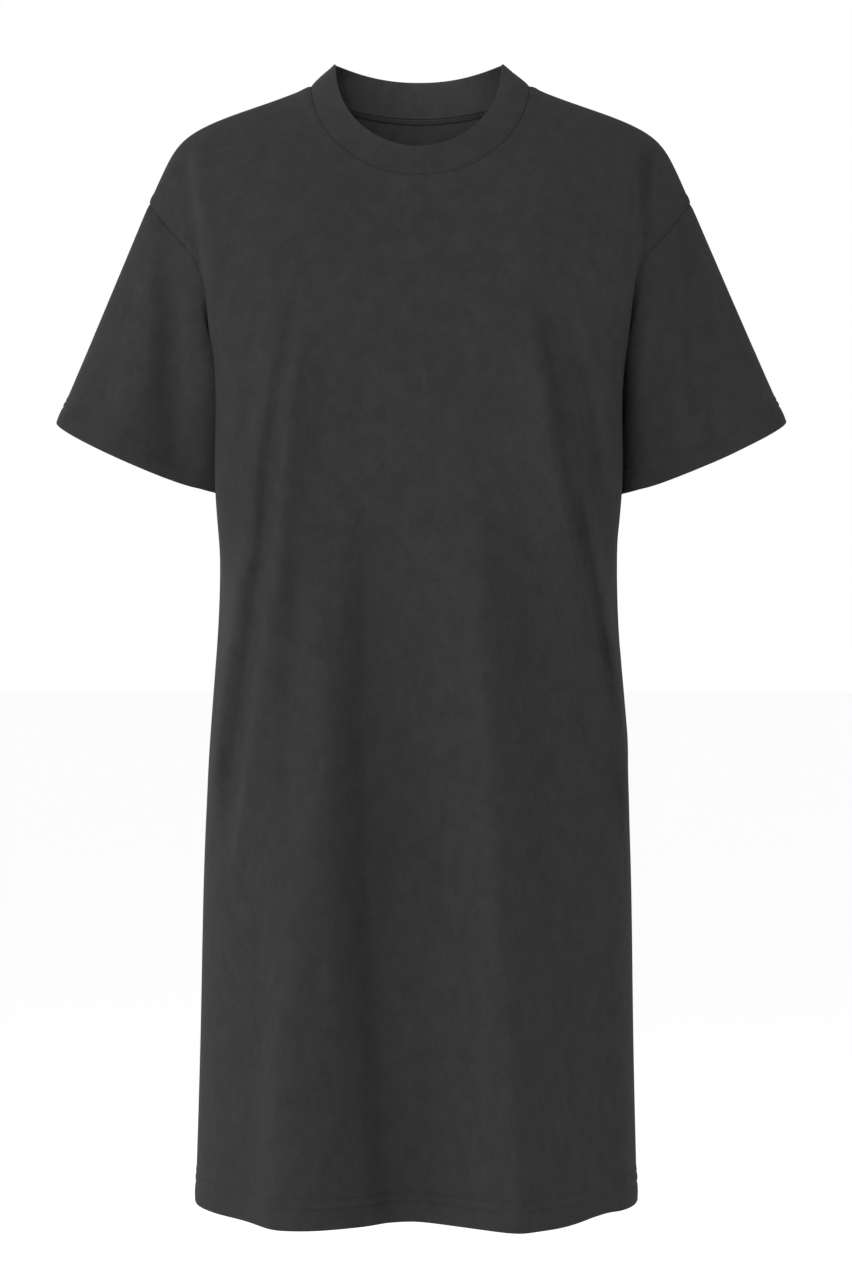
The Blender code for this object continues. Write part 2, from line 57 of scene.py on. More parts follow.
import bmesh
import bpy
import numpy as np
from bpy.props import FloatProperty, FloatVectorProperty
from mathutils import Matrix, Vector

MM = 0.001

# ---- the cut -------------------------------------------------------------------------------------
HEM = 950.0                 # neck point to hem
UNDERARM = 262.0            # neck point to underarm
NECK_HALF_WIDTH = 93.0
NECK_DROP = {-1: 90.0, 1: 20.0}
BAND_TOP_HALF_WIDTH = 71.0
BAND_TOP_X = -1.5
BAND_TOP_HEIGHT = 16.5      # at the sides of the neck
BAND_TOP_FRONT = (-71.0, -64.0)     # y and z in the middle of the front
BAND_TOP_BACK = (70.0, 11.0)        # y and z in the middle of the back
BAND_TOP_SIDE_Y = 8.0
BAND_BACK_ROUND = 0.8       # below 1 the band's back is rounder than an oval, seen from above
BAND_BACK_DIP = 2.2         # and above 1 its top dips in the middle only
BAND_BACK_RISE = 0.165      # how much its top rises for each step back, before it dips
BAND_TIP_RISE = 3.5         # the band's top rises at the sides of the neck, and is rounded off there
BAND_TIP_RISE_REACH = 0.3
BAND_TIP_DROP = 4.0
BAND_TIP_DROP_REACH = 0.1
CUFF_CENTRE = (243.0, 0.0, -319.0)
CUFF_HALF_WIDTH = 73.5
CUFF_RIGHT_LESS = 2.0       # the right cuff is this much less than the left in half width
CUFF_HALF_DEPTH = 66.0
CUFF_SQUARE = 0.6           # below 1 the cuff is squarer than an oval
CUFF_DROP_FRONT = 7.5       # how far the cuff's front hangs below its corners
CUFF_DROP_BACK = 3.0
SLEEVE_LEAN = np.radians(23.8)      # sleeve's axis from the vertical
SWAY = 2.0                  # the dress hangs a touch askew: to the left at the neck, right at the hem
SWAY_TURN = 560.0           # depth at which it doesn't
# The front's folds over the sleeves stand out to the sides, most at this depth, with the sleeves.
FLANK_OUT = 5.0
FLANK_DEPTH = 225.0
FLANK_REACH = 85.0
FLANK_INNER = 125.0         # distance from the middle at which this begins, and how soon it is whole
FLANK_INNER_RISE = 35.0
FLANK_OUTER = 205.0         # and at which it ends
FLANK_OUTER_FADE = 30.0
FLANK_FRONT_RISE = 50.0     # it is whole this far in front of the side seams

# Where five lines run across each half of the body, as shares of the half's width.
STATIONS = np.array([0.0, 0.36, 0.72, 0.87, 1.0])
NECK_STATION = STATIONS[1]
SECTION_ANGLES = np.radians([0.0, 30.0, 59.0, 75.0, 90.0])

Section = collections.namedtuple(
    "Section", "depth half_width front back front_square back_square")
# Below the underarm: rounded oblongs, 2 is an ellipse and 3 is squarer.
SECTIONS = (
    Section(950, 188, 128, 120, 2.00, 2.00),
    Section(800, 184, 126, 117, 2.10, 2.10),
    Section(650, 181, 125, 114, 2.20, 2.20),
    Section(520, 174, 125, 109, 2.40, 2.40),
    Section(430, 169, 127, 105, 2.60, 2.60),
)
Yoke = collections.namedtuple("Yoke", "depth centre neck corner flank edge")
# From the cuffs up to the shoulder: x, y and z where each line crosses. The last point of a row
# lies on the side seam or the armhole. In the neck opening the surface is only a guide.
FRONT_YOKE = (
    Yoke(340, (0, -132, -340), (95, -129, -340), (161, -101, -340), (169, -58, -340), (167, 0, -340)),
    Yoke(262, (0, -137, -262), (94, -134, -262), (159, -104, -262), (165, -60, -262), (159, 0, -262)),
    Yoke(215, (0, -134, -225), (93, -130, -215), (162, -101, -222), (168, -73, -228), (164, -58, -237)),
    Yoke(165, (0, -127, -190), (92, -119, -165), (168, -94, -184), (172, -80, -190), (170, -75, -196)),
    Yoke(115, (0, -115, -152), (93, -99, -115), (176, -79, -139), (182, -68, -149), (185, -65, -158)),
    Yoke(60, (0, -94, -106), (93, -62, -60), (188, -47, -87), (200, -41, -107), (210, -33, -130)),
)
SHOULDER = Yoke(0, (0, 0, 45), (93, 8, -2), (198, 3, -47), (217, 1, -74), (230, 0, -103))
BACK_YOKE = (
    Yoke(60, (0, 88, -50), (93, 66, -60), (188, 49, -87), (200, 43, -107), (210, 35, -131)),
    Yoke(115, (0, 101, -108), (93, 91, -115), (177, 77, -141), (183, 66, -151), (184, 57, -161)),
    Yoke(165, (0, 108, -163), (92, 103, -165), (170, 88, -188), (173, 73, -194), (167, 59, -201)),
    Yoke(215, (0, 111, -214), (92, 108, -215), (161, 91, -225), (167, 68, -231), (163, 38, -241)),
    Yoke(262, (0, 111, -262), (93, 108, -262), (156, 89, -262), (164, 54, -262), (159, 0, -262)),
    Yoke(340, (0, 107, -340), (94, 103, -340), (156, 82, -340), (168, 48, -340), (167, 0, -340)),
)

# ---- folds ---------------------------------------------------------------------------------------
# The broad folds run from their top to their low point, x and z seen from the front. Depth is out of
# the cloth, and below zero it is a hollow.
Fold = collections.namedtuple(
    "Fold", "x_top z_top x_low z_low width_top width_low depth_top depth_low")
FOLDS = {
    "front": (
        Fold(-98, -360, -87, -950, 34, 43, 5, 44),          # lobe on the right
        Fold(50, -380, 79, -950, 32, 46, 4, 44),            # lobe on the left
        Fold(-16, -400, -4, -950, 34, 30, -4, -30),         # hollow in the middle
        Fold(-104, -250, -150, -590, 15, 17, 6, 6),         # outer right pleat
        Fold(112, -250, 160, -575, 15, 17, 6, 6),           # outer left pleat
        Fold(-132, -270, -163, -480, 13, 13, -4, -4),       # hollow beside the right pleat
        Fold(136, -262, 165, -470, 13, 13, -5, -4),         # hollow beside the left pleat
        Fold(-132, -150, -120, -235, 24, 22, 4, 4),         # right chest
        Fold(140, -95, 104, -235, 26, 26, -4, -3),          # left chest
    ),
    "back": (
        Fold(-104, -420, -88, -950, 36, 38, 4, 26),         # lobe on the right
        Fold(88, -400, 98, -950, 34, 38, 4, 28),            # lobe on the left
        Fold(10, -430, 4, -950, 38, 32, -4, -14),           # hollow in the middle
        Fold(-118, -210, -146, -560, 18, 18, 5, 5),         # right shoulder blade
        Fold(112, -225, 150, -540, 17, 18, 5, 5),           # left shoulder blade
    ),
    "right sleeve": (
        Fold(-226, -140, -236, -300, 14, 17, 3, 4),         # outer ridge
        Fold(-207, -165, -206, -330, 13, 15, -3, -5),       # inner hollow
    ),
    "left sleeve": (
        Fold(224, -140, 228, -300, 13, 16, 3, 4),           # outer ridge
        Fold(246, -165, 252, -320, 13, 15, -3, -5),         # inner hollow
    ),
}
FOLD_FADE = 0.16            # share of a fold's length over which each end fades, half of it beyond
EDGE_FADE = 0.10            # share of a panel's half width over which folds rise from its side
SLEEVE_SIDE_FADE = 1 / 3    # folds rise over this much of the sine of the way round the sleeve
SLEEVE_TOP_FADE = 1 / 4     # and over this share of its length

# Creases lie on top of the folds. Each runs down a smooth path through points of x and z, seen from the
# front, and is as wide on its right (towards -x) and its left as it says. They lift the sleeves' cloth
# out, and the panels' straight forward or back.
Crease = collections.namedtuple("Crease", "depth right left path")
CREASES = {
    "front": (
        # hollow in the middle of the skirt, and the ridge and hollow left of it
        Crease(-9, 13, 42, ((-40, -290), (-41, -429), (-40, -624), (-36, -737), (-30, -821), (-14, -1150))),
        Crease(9, 24, 14, ((41, -300), (56, -512), (63, -624), (69, -766), (80, -929), (92, -1150))),
        Crease(-9, 14, 28, ((82, -350), (93, -480), (106, -650), (121, -793), (137, -877), (157, -1080))),
        Crease(14, 26, 26, ((-4, -640), (-5, -800), (-6, -1250))),
        # the right side of the skirt
        Crease(8, 18, 28, ((-150, -560), (-158, -740), (-162, -860), (-164, -1080))),
        Crease(5, 12, 14, ((-86, -620), (-102, -740), (-108, -800), (-114, -864), (-122, -1100))),
        Crease(-5, 12, 10, ((-91, -370), (-96, -430), (-102, -520), (-106, -600), (-110, -680))),
        Crease(5, 20, 14, ((-72, -430), (-74, -560), (-72, -700), (-66, -820))),
        Crease(-4, 10, 12, ((-124, -640), (-132, -800), (-138, -960))),
        # the left side of the skirt
        Crease(5, 9, 9, ((165, -640), (167, -767), (174, -1060))),
        Crease(-4, 10, 12, ((142, -640), (152, -850), (158, -1100))),
        Crease(8, 30, 15, ((142, -640), (147, -850), (151, -1250))),
        # the pleats that fall from the right side of the chest, and the hollow between them
        Crease(5, 10, 9, ((-106, -180), (-121, -253), (-132, -316), (-149, -405), (-160, -510))),
        Crease(-6, 9, 9, ((-103, -220), (-109, -253), (-124, -365), (-138, -473), (-164, -680))),
        Crease(-6, 9, 8, ((-114, -310), (-125, -410), (-131, -454), (-139, -505), (-162, -660))),
        Crease(4, 6, 12, ((-104, -340), (-118, -417), (-131, -513), (-139, -575), (-156, -700))),
        Crease(12, 8, 7, ((-143, -385), (-146, -405), (-155, -474), (-165, -545), (-173, -620))),
        Crease(6, 8, 22, ((-86, -160), (-99, -260), (-111, -370), (-121, -455), (-136, -552), (-152, -680))),
        # the pleat and the hollows that fall from the left side of the chest
        Crease(7, 20, 8, ((90, -190), (103, -290), (122, -385), (139, -456), (155, -524), (172, -610))),
        Crease(6, 4, 6, ((112, -330), (122, -377), (139, -456), (155, -524), (170, -600), (180, -700))),
        Crease(-18, 11, 11, ((106, -180), (117, -253), (137, -372), (147, -417), (154, -455), (166, -529),
                             (184, -700))),
        Crease(24, 8, 9, ((129, -325), (137, -360), (144, -393), (151, -425), (157, -458), (165, -506),
                          (180, -660))),
        Crease(7, 5, 9, ((145, -395), (151, -425), (157, -458), (165, -506), (180, -660))),
        Crease(-4, 4, 6, ((98, -180), (110, -253), (118, -316), (129, -372), (139, -417))),
        Crease(-6, 6, 7, ((118, -190), (132, -265), (142, -320), (152, -390))),
        # where the panel folds over the right sleeve, and over the left
        Crease(5, 5, 15, ((-190, -50), (-186, -80), (-179, -124), (-174, -180), (-171, -235))),
        Crease(-5, 8, 7, ((-199, -60), (-192, -95), (-186, -140), (-181, -180))),
        Crease(5, 15, 5, ((184, -55), (181, -110), (176, -180), (172, -235))),
        Crease(-11, 6, 7, ((193, -50), (189, -85), (186, -120), (183, -155))),
    ),
    "back": (
        Crease(-8, 12, 36, ((-34, -330), (-40, -480), (-37, -650), (-30, -800), (-22, -1150))),
        Crease(7, 18, 13, ((38, -380), (50, -560), (60, -760), (74, -1150))),
        Crease(-7, 10, 20, ((88, -430), (96, -620), (112, -820), (130, -1120))),
        Crease(6, 14, 18, ((-98, -460), (-108, -700), (-120, -1120))),
        Crease(-6, 13, 14, ((-132, -600), (-141, -800), (-150, -1130))),
        Crease(7, 12, 9, ((-102, -200), (-118, -310), (-132, -430), (-150, -610))),
        Crease(-6, 8, 10, ((-114, -220), (-133, -340), (-146, -460), (-160, -570))),
        Crease(8, 16, 8, ((93, -190), (106, -300), (124, -420), (148, -580))),
        Crease(-8, 9, 12, ((106, -210), (122, -320), (140, -430), (158, -560))),
        Crease(4, 8, 8, ((-60, -180), (-74, -270), (-84, -400))),
        Crease(-4, 8, 14, ((52, -170), (62, -260), (70, -380))),
        Crease(4, 7, 14, ((-184, -70), (-179, -130), (-172, -220))),
        Crease(4, 14, 7, ((184, -66), (178, -130), (172, -220))),
    ),
    "right sleeve front": (
        Crease(3, 11, 9, ((-219, -105), (-221, -160), (-223, -285))),
        Crease(-4, 10, 9, ((-205, -150), (-201, -220), (-198, -300), (-196, -350))),
        Crease(16, 20, 20, ((-180, -185), (-176, -230), (-172, -300), (-170, -440))),
        Crease(10, 16, 16, ((-177, -215), (-174, -250), (-172, -300), (-170, -440))),
        Crease(2, 14, 10, ((-246, -215), (-252, -330))),
    ),
    "right sleeve back": (
        Crease(-4, 10, 11, ((-208, -150), (-206, -230), (-202, -340))),
        Crease(3, 11, 11, ((-228, -130), (-234, -210), (-240, -310))),
        Crease(9, 14, 14, ((-188, -170), (-183, -250), (-178, -400))),
    ),
    "left sleeve front": (
        Crease(4, 7, 9, ((223, -95), (232, -130), (240, -165), (246, -215))),
        Crease(-7, 9, 9, ((223, -105), (229, -140), (231, -200), (230, -250), (229, -310))),
        Crease(3, 12, 10, ((214, -190), (212, -250), (210, -330))),
        Crease(11, 14, 14, ((192, -160), (188, -230), (184, -300), (180, -420))),
        Crease(2, 14, 14, ((268, -210), (276, -330))),
    ),
    "left sleeve back": (
        Crease(-4, 11, 10, ((210, -150), (207, -230), (204, -340))),
        Crease(3, 11, 11, ((232, -130), (236, -220), (242, -320))),
        Crease(9, 14, 14, ((189, -170), (184, -250), (178, -400))),
    ),
}
CREASE_FADE = 0.22          # share of a crease's length over which each end fades
CREASE_CLEAR = 16.0         # creases rise over this distance from a seam
SLEEVE_CREASE_CLEAR = 9.0

# ---- seams, hems and grids -----------------------------------------------------------------------
SEAM_ROLL = 1.0             # how deep the cloth turns in at a seam
SEAM_ROLL_REACH = 1.5
ALLOWANCE = 8.0             # width of the seam turnings that lie under the panel, at neck and armhole
ALLOWANCE_EDGE = 2.0
ALLOWANCE_RISE = 0.5
PUCKER = 0.4                # how high the cloth puckers along the neck and armhole seams
PUCKER_REACH = 5.0
PUCKER_WAVE = (3.4, 1.6, 19.0)      # length of a radian, and how far and how slowly it swings
PUCKER_MEAN = 0.6           # the puckers' mean height, as a share of the full one
PUCKER_PATCH = 41.0         # length of a radian from high ones to low ones
SIDE_CLEAR = 4.0            # puckers and hems rise over this distance from a side seam
SEAM_LEAN_REACH = 5.0       # how far from a seam the wall leans to meet its neighbour
MITRE_MOST = 2.2            # and the most that this thickens it
# Ticks are the distances of rows of points from an edge, closer together where the cloth bends.
SEAM_TICKS = (0.0, 0.4, 0.9, 1.6, 2.6, 4.2, 6.5)
HEM_TICKS = (0.0, 0.15, 0.5, 1.0, 2.0, 4.5, 8.0, 11.5, 14.5, 16.0, 16.6, 17.0, 17.4, 18.0, 19.5,
             21.0, 22.5, 24.0, 24.6, 25.0, 25.4, 26.0, 27.6, 28.6, 30.5, 33.0)
HEM_LINES = (17.0, 25.0)    # the twin needles' rows, above the hem's edge
HEM_TURN = 28.1             # height of the turned-up cloth's raw edge
CUFF_TICKS = (0.0, 0.15, 0.5, 1.0, 2.0, 4.5, 8.0, 11.5, 14.0, 14.6, 15.0, 15.4, 16.0, 17.6,
              19.2, 19.8, 20.2, 20.6, 21.2, 22.6, 23.6, 25.5, 28.0)
CUFF_LINES = (15.0, 20.2)
CUFF_TURN = 23.1
NEEDLE_SINK = 0.6           # how deep the stitches pull the cloth in, and how far beside them
NEEDLE_REACH = 0.7
HEM_PUFF = 0.45             # how high a hem puffs out between its edge and the first row
HEM_PUFF_PLACE = 0.55       # where, and how widely, as shares of the way to that row
HEM_PUFF_REACH = 0.33
ROW_PUFF = 0.35             # how high it puffs out between the two rows
ROW_PUFF_REACH = 2.4
HEM_STEP = 0.45             # how far the doubled cloth stands out past the single
HEM_STEP_START = 3.0        # where that begins, above the raw edge
HEM_STEP_REACH = 4.0
HEM_ROUND = 0.35            # how far the hem's folded edge draws in
HEM_ROUND_REACH = 1.5
RIPPLE = 0.10               # height of the ripples along the rows of stitches
RIPPLE_REACH = 7.0
RIPPLE_WAVE = (2.1, 1.7, 31.0)
RIPPLE_PATCH = 47.0         # lengths of a radian from strong ripples to weak ones, along and across
RIPPLE_PATCH_ACROSS = 9.0
TURN_SOFT = 1.0             # distance over which the inside steps up to the doubled cloth
WALL_ROUND = 0.98           # radius of a hem's edge, as a share of the cloth's thickness
ROUND_MOST = 0.94           # how much of an edge's radius its faces may draw in
STITCH_SHARE = 0.86         # length of a stitch, as a share of the way between its needle holes
THREAD_PROUD = 0.18         # how far a thread's middle stands out of the cloth, in thread widths
BAND_PROUD = 0.5            # how far the band stands out past the panels
BAND_CROWN = 0.5            # and how much further in the middle of its height
BAND_TOP_TICKS = (4.0, 2.2, 1.15, 0.65, 0.3, 0.06, 0.0)     # below its fold
TAPE_TICKS = (0.8, 1.0, 1.4, 2.2, 3.3, 4.4, 5.2, 5.6, 5.8)  # below the neck seam
TAPE_COLUMNS = slice(2, -2)         # of the neck edge's
TAPE_CLEAR = 0.05           # distance from the panel
TAPE_EDGE = 0.45            # thickness at its edges, as a share of its thickness
TAPE_EDGE_REACH = 0.6
THREAD_SIDES = 6            # a stitch has few faces, because there are over two thousand
THREAD_RINGS = 4
# How finely the cloth is divided: in numbers, or in steps along it.
NECK_COLUMNS = 42           # half the neck edge of one panel
SHOULDER_COLUMNS = 50       # one shoulder seam, without its ticks
HALF_GIRTH = 250.0          # about the length of u from 0 to 1
SKIRT_STEP = 5.2
ARMHOLE_ROWS = 46
TOP_PULL = 2                # above 1 the rows follow the neck edge only near it
NECK_LOW = 0.47             # u in the skirt of the column that starts at the neck point
COLUMN_TURN = 90.0          # distance below the shoulder over which the columns fan out
SLEEVE_STEP = 4.5
BAND_STEP = 2.2
HALVINGS = 30               # of the search for the neck edge
U_STEP = 0.004              # steps of the differences that give the normals
S_STEP = 1.0
DOWN_STEP = 0.01
NECK = slice(SHOULDER_COLUMNS + len(SEAM_TICKS) - 1,
             SHOULDER_COLUMNS + len(SEAM_TICKS) + 2 * NECK_COLUMNS)


# ---- the stage, in metres ------------------------------------------------------------------------
FRAME_HEIGHT = 1.088        # what the camera sees of the height at the side seams
SENSOR = 36.0               # width of the camera's sensor, in millimetres
CAMERA_X = 0.0068
CAMERA_Z = -0.474
FLOOR_RADIUS = 60.0
FLOOR_SIDES = 64
# Place and width of each soft light. All of them face the middle of the dress.
LAMPS = {
    "key": ((-2.85, -0.93, 0.3), 3.0),
    "front": ((-0.8, -3.2, 0.4), 1.8),
    "back": ((-1.9, 2.7, 0.6), 1.8),
}
LAMPS_AIM = (0.0, 0.0, -0.45)
COLLAR_CONE = np.radians(9.0)
COLLAR_WIDTH = 0.06
COLLAR_PLACE = (-0.3, -1.0, 0.48)
COLLAR_AIM = (0.008, 0.08, 0.005)


# ---- the surface ---------------------------------------------------------------------------------
def spline_weights(knots, places):
    """Rows of weights that a natural cubic spline through the knots gives each knot's value."""
    knots = np.asarray(knots, float)
    places = np.clip(np.asarray(places, float), knots[0], knots[-1])
    count = len(knots)
    step = np.diff(knots)
    bend = np.eye(count)
    rise = np.zeros((count, count))
    for k in range(1, count - 1):
        bend[k, k - 1:k + 2] = step[k - 1], 2 * (step[k - 1] + step[k]), step[k]
        rise[k, k - 1] = 6 / step[k - 1]
        rise[k, k] = -6 / step[k - 1] - 6 / step[k]
        rise[k, k + 1] = 6 / step[k]
    second = np.linalg.solve(bend, rise)
    low = np.clip(np.searchsorted(knots, places, side="right") - 1, 0, count - 2)
    width = step[low]
    b = (places - knots[low]) / width
    a = 1 - b
    own = np.eye(count)
    swing_a = ((a ** 3 - a) * width ** 2 / 6)[:, None]
    swing_b = ((b ** 3 - b) * width ** 2 / 6)[:, None]
    return (a[:, None] * own[low] + b[:, None] * own[low + 1]
            + swing_a * second[low] + swing_b * second[low + 1])


def smoothstep(x):
    """0 up to x = 0, 1 from x = 1, and a soft rise between."""
    x = np.clip(x, 0.0, 1.0)
    return x * x * (3 - 2 * x)


def bell(x):
    return np.exp(-x ** 2)


def unit(vectors):
    return vectors / np.linalg.norm(vectors, axis=-1, keepdims=True)


def sway(points):
    """The points moved sideways, as the dress hangs."""
    x, y, z = points[:, :1], points[:, 1:2], points[:, 2:]
    flank = smoothstep((np.abs(x) - FLANK_INNER) / FLANK_INNER_RISE)
    flank *= smoothstep((FLANK_OUTER - np.abs(x)) / FLANK_OUTER_FADE)
    flank *= smoothstep(-y / FLANK_FRONT_RISE) * bell((z + FLANK_DEPTH) / FLANK_REACH)
    shift = SWAY * (1 + z / SWAY_TURN) + FLANK_OUT * np.sign(x) * flank
    return points + shift * (1.0, 0.0, 0.0)


def section_points(section, back):
    """The five points of half a section below the underarm."""
    square = section.back_square if back else section.front_square
    reach = section.back if back else -section.front
    x = section.half_width * np.sin(SECTION_ANGLES) ** (2 / square)
    y = reach * np.cos(SECTION_ANGLES) ** (2 / square)
    y[-1] = 0.0
    return [(px, py, -section.depth) for px, py in zip(x, y)]


def net():
    """Places s of the rows, and the five points of each, from the front hem to the back hem."""
    front = [(-row.depth, section_points(row, False)) for row in SECTIONS]
    front += [(-row.depth, list(row[1:])) for row in FRONT_YOKE]
    back = [(row.depth, list(row[1:])) for row in BACK_YOKE]
    back += [(row.depth, section_points(row, True)) for row in reversed(SECTIONS)]
    rows = front + [(0.0, list(SHOULDER[1:]))] + back
    places = np.array([place for place, _ in rows], float)
    points = np.array([point for _, point in rows], float)
    return places, points


ROW_PLACES, ROW_POINTS = net()


def edge_line(s):
    """Points of the side seam and the armhole. The line turns sharply at the underarm."""
    result = np.zeros((len(s), 3))
    for low, high in ((-HEM, -UNDERARM), (-UNDERARM, UNDERARM), (UNDERARM, HEM)):
        own = (ROW_PLACES >= low) & (ROW_PLACES <= high)
        here = (s >= low) & (s <= high)
        if here.any():
            result[here] = spline_weights(ROW_PLACES[own], s[here]) @ ROW_POINTS[own, -1]
    return result


def plain_body(u, s):
    """The body without folds. u and s are arrays of one length."""
    down = spline_weights(ROW_PLACES, s)
    lines = [down @ ROW_POINTS[:, station] for station in range(len(STATIONS) - 1)]
    lines = np.stack(lines + [edge_line(s)], axis=1)
    mirrored = lines[:, :0:-1] * (-1, 1, 1)
    across = np.concatenate([mirrored, lines], axis=1)
    knots = np.concatenate([-STATIONS[:0:-1], STATIONS])
    return sway(np.einsum("nk,nkc->nc", spline_weights(knots, u), across))


def fold_height(folds, x, z):
    """How far the broad folds lift the cloth at x and z, as seen from the front."""
    height = np.zeros_like(x)
    for fold in folds:
        run = (fold.z_top - z) / (fold.z_top - fold.z_low)
        along = np.clip(run, 0.0, 1.0)
        path = fold.x_top + (fold.x_low - fold.x_top) * run
        width = fold.width_top + (fold.width_low - fold.width_top) * along
        depth = fold.depth_top + (fold.depth_low - fold.depth_top) * along
        fade = smoothstep(run / FOLD_FADE + 0.5)
        if fold.z_low > -HEM:
            fade = fade * smoothstep((1 - run) / FOLD_FADE + 0.5)
        height += depth * fade * bell((x - path) / width)
    return height


def crease_height(creases, x, z):
    """How far the creases lift the cloth at x and z, as seen from the front."""
    height = np.zeros_like(x)
    for crease in creases:
        path_x, path_z = np.array(crease.path, float).T
        path = spline_weights(path_z[::-1], z.ravel()) @ path_x[::-1]
        gap = x - path.reshape(x.shape)
        run = (path_z[0] - z) / (path_z[0] - path_z[-1])
        fade = smoothstep(run / CREASE_FADE) * smoothstep((1 - run) / CREASE_FADE)
        height += crease.depth * fade * bell(gap / np.where(gap > 0, crease.left, crease.right))
    return height


def slopes(surface, first, second, first_step, second_step, first_range, second_range):
    """Unit normals of surface(first, second) by differences that stay inside its ranges."""
    low_a = np.clip(first - first_step, *first_range)
    high_a = np.clip(first + first_step, *first_range)
    low_b = np.clip(second - second_step, *second_range)
    high_b = np.clip(second + second_step, *second_range)
    along_a = surface(high_a, second) - surface(low_a, second)
    along_b = surface(first, high_b) - surface(first, low_b)
    return unit(np.cross(along_a, along_b))


def grid_normals(points):
    """Unit normals of a grid of points, columns by rows."""
    along_a = np.concatenate([points[1:2] - points[:1], points[2:] - points[:-2],
                              points[-1:] - points[-2:-1]])
    along_b = np.concatenate([points[:, 1:2] - points[:, :1], points[:, 2:] - points[:, :-2],
                              points[:, -1:] - points[:, -2:-1]], axis=1)
    return unit(np.cross(along_a, along_b))


def body_folds(u, s, points, side):
    height = fold_height(FOLDS["front" if side < 0 else "back"], points[..., 0], points[..., 2])
    return height * smoothstep((1 - np.abs(u)) / EDGE_FADE) * smoothstep(np.abs(s) / UNDERARM)


def body(u, s, side):
    """The body with its broad folds."""
    points = plain_body(u, s)
    out = slopes(plain_body, u, s, U_STEP, S_STEP, (-1, 1), side_range(side))
    return points + out * body_folds(u, s, points, side)[:, None]


def body_normals(u, s, side):
    def folded(first, second):
        return body(first, second, side)
    return slopes(folded, u, s, U_STEP, S_STEP, (-1, 1), side_range(side))


def body_grid(u, s, side):
    """Points and normals of a grid of u and s."""
    plain = plain_body(u.ravel(), s.ravel()).reshape(u.shape + (3,))
    points = plain + side * -grid_normals(plain) * body_folds(u, s, plain, side)[..., None]
    return points, side * -grid_normals(points)


def side_range(side):
    return (-HEM, 0.0) if side < 0 else (0.0, HEM)


# ---- where rows and columns lie ------------------------------------------------------------------
def half_columns():
    """u of the columns from the middle to the side, at their tops and in the skirt.

    One of them starts at the neck point. From the neck edge they fan out.
    """
    share = np.linspace(0, 1, NECK_COLUMNS + 1)
    ticks = 1 - np.array(SEAM_TICKS[::-1]) / HALF_GIRTH

    def whole(neck):
        shoulder = np.linspace(neck[-1], ticks[0], SHOULDER_COLUMNS + 1)
        return np.concatenate([neck, shoulder[1:], ticks[1:]])

    return whole(NECK_STATION * np.sin(share * np.pi / 2)), whole(NECK_LOW * share)


def top_places(u, side):
    """|s| where each column ends: on the shoulder line, or on the neck edge by halving steps."""
    low = np.full(len(u), UNDERARM)
    high = np.zeros(len(u))
    for _ in range(HALVINGS):
        middle = (low + high) / 2
        points = plain_body(u, side * middle)
        share = np.clip(1 - ((points[:, 0] - SWAY) / NECK_HALF_WIDTH) ** 2, 0, 1)
        under = points[:, 2] < -NECK_DROP[side] * np.sqrt(share)
        low = np.where(under, middle, low)
        high = np.where(under, high, middle)
    in_neck = (np.abs(u) < NECK_STATION) & ~np.isclose(np.abs(u), NECK_STATION)
    return np.where(in_neck, (low + high) / 2, 0.0)


def even(start, end, step):
    return np.linspace(start, end, max(2, round(abs(end - start) / step)) + 1)


def panel_places(side):
    """Grids of u and s for the front or the back: columns by rows, from the hem up."""
    high, low = (np.concatenate([-half[:0:-1], half]) for half in half_columns())
    hem = HEM - np.array(HEM_TICKS)
    skirt = even(hem[-1], UNDERARM, SKIRT_STEP)[1:]
    ticks = np.array(SEAM_TICKS[::-1])
    rows, columns = [], []
    for top, u_high, u_low in zip(top_places(high, side), high, low):
        share = np.linspace(0, 1, ARMHOLE_ROWS + 1)[1:]
        bodice = UNDERARM * (1 - share) + (top + ticks[0]) * share ** TOP_PULL
        s = np.concatenate([hem, skirt, bodice, top + ticks[1:]])
        turn = 1 - np.clip((s - top) / COLUMN_TURN, 0, 1)
        rows.append(s)
        columns.append(u_low + (u_high - u_low) * turn ** 2)
    return np.array(columns), side * np.array(rows)


ARMHOLE_TOP = ARMHOLE_ROWS + len(SEAM_TICKS) - 1      # rows from the underarm to the shoulder


def armhole_places():
    """s round the armhole: underarm, front, shoulder, back, underarm."""
    _, s = panel_places(-1)
    front = s[0, -ARMHOLE_TOP - 1:]
    return np.concatenate([front, -front[-2::-1]])


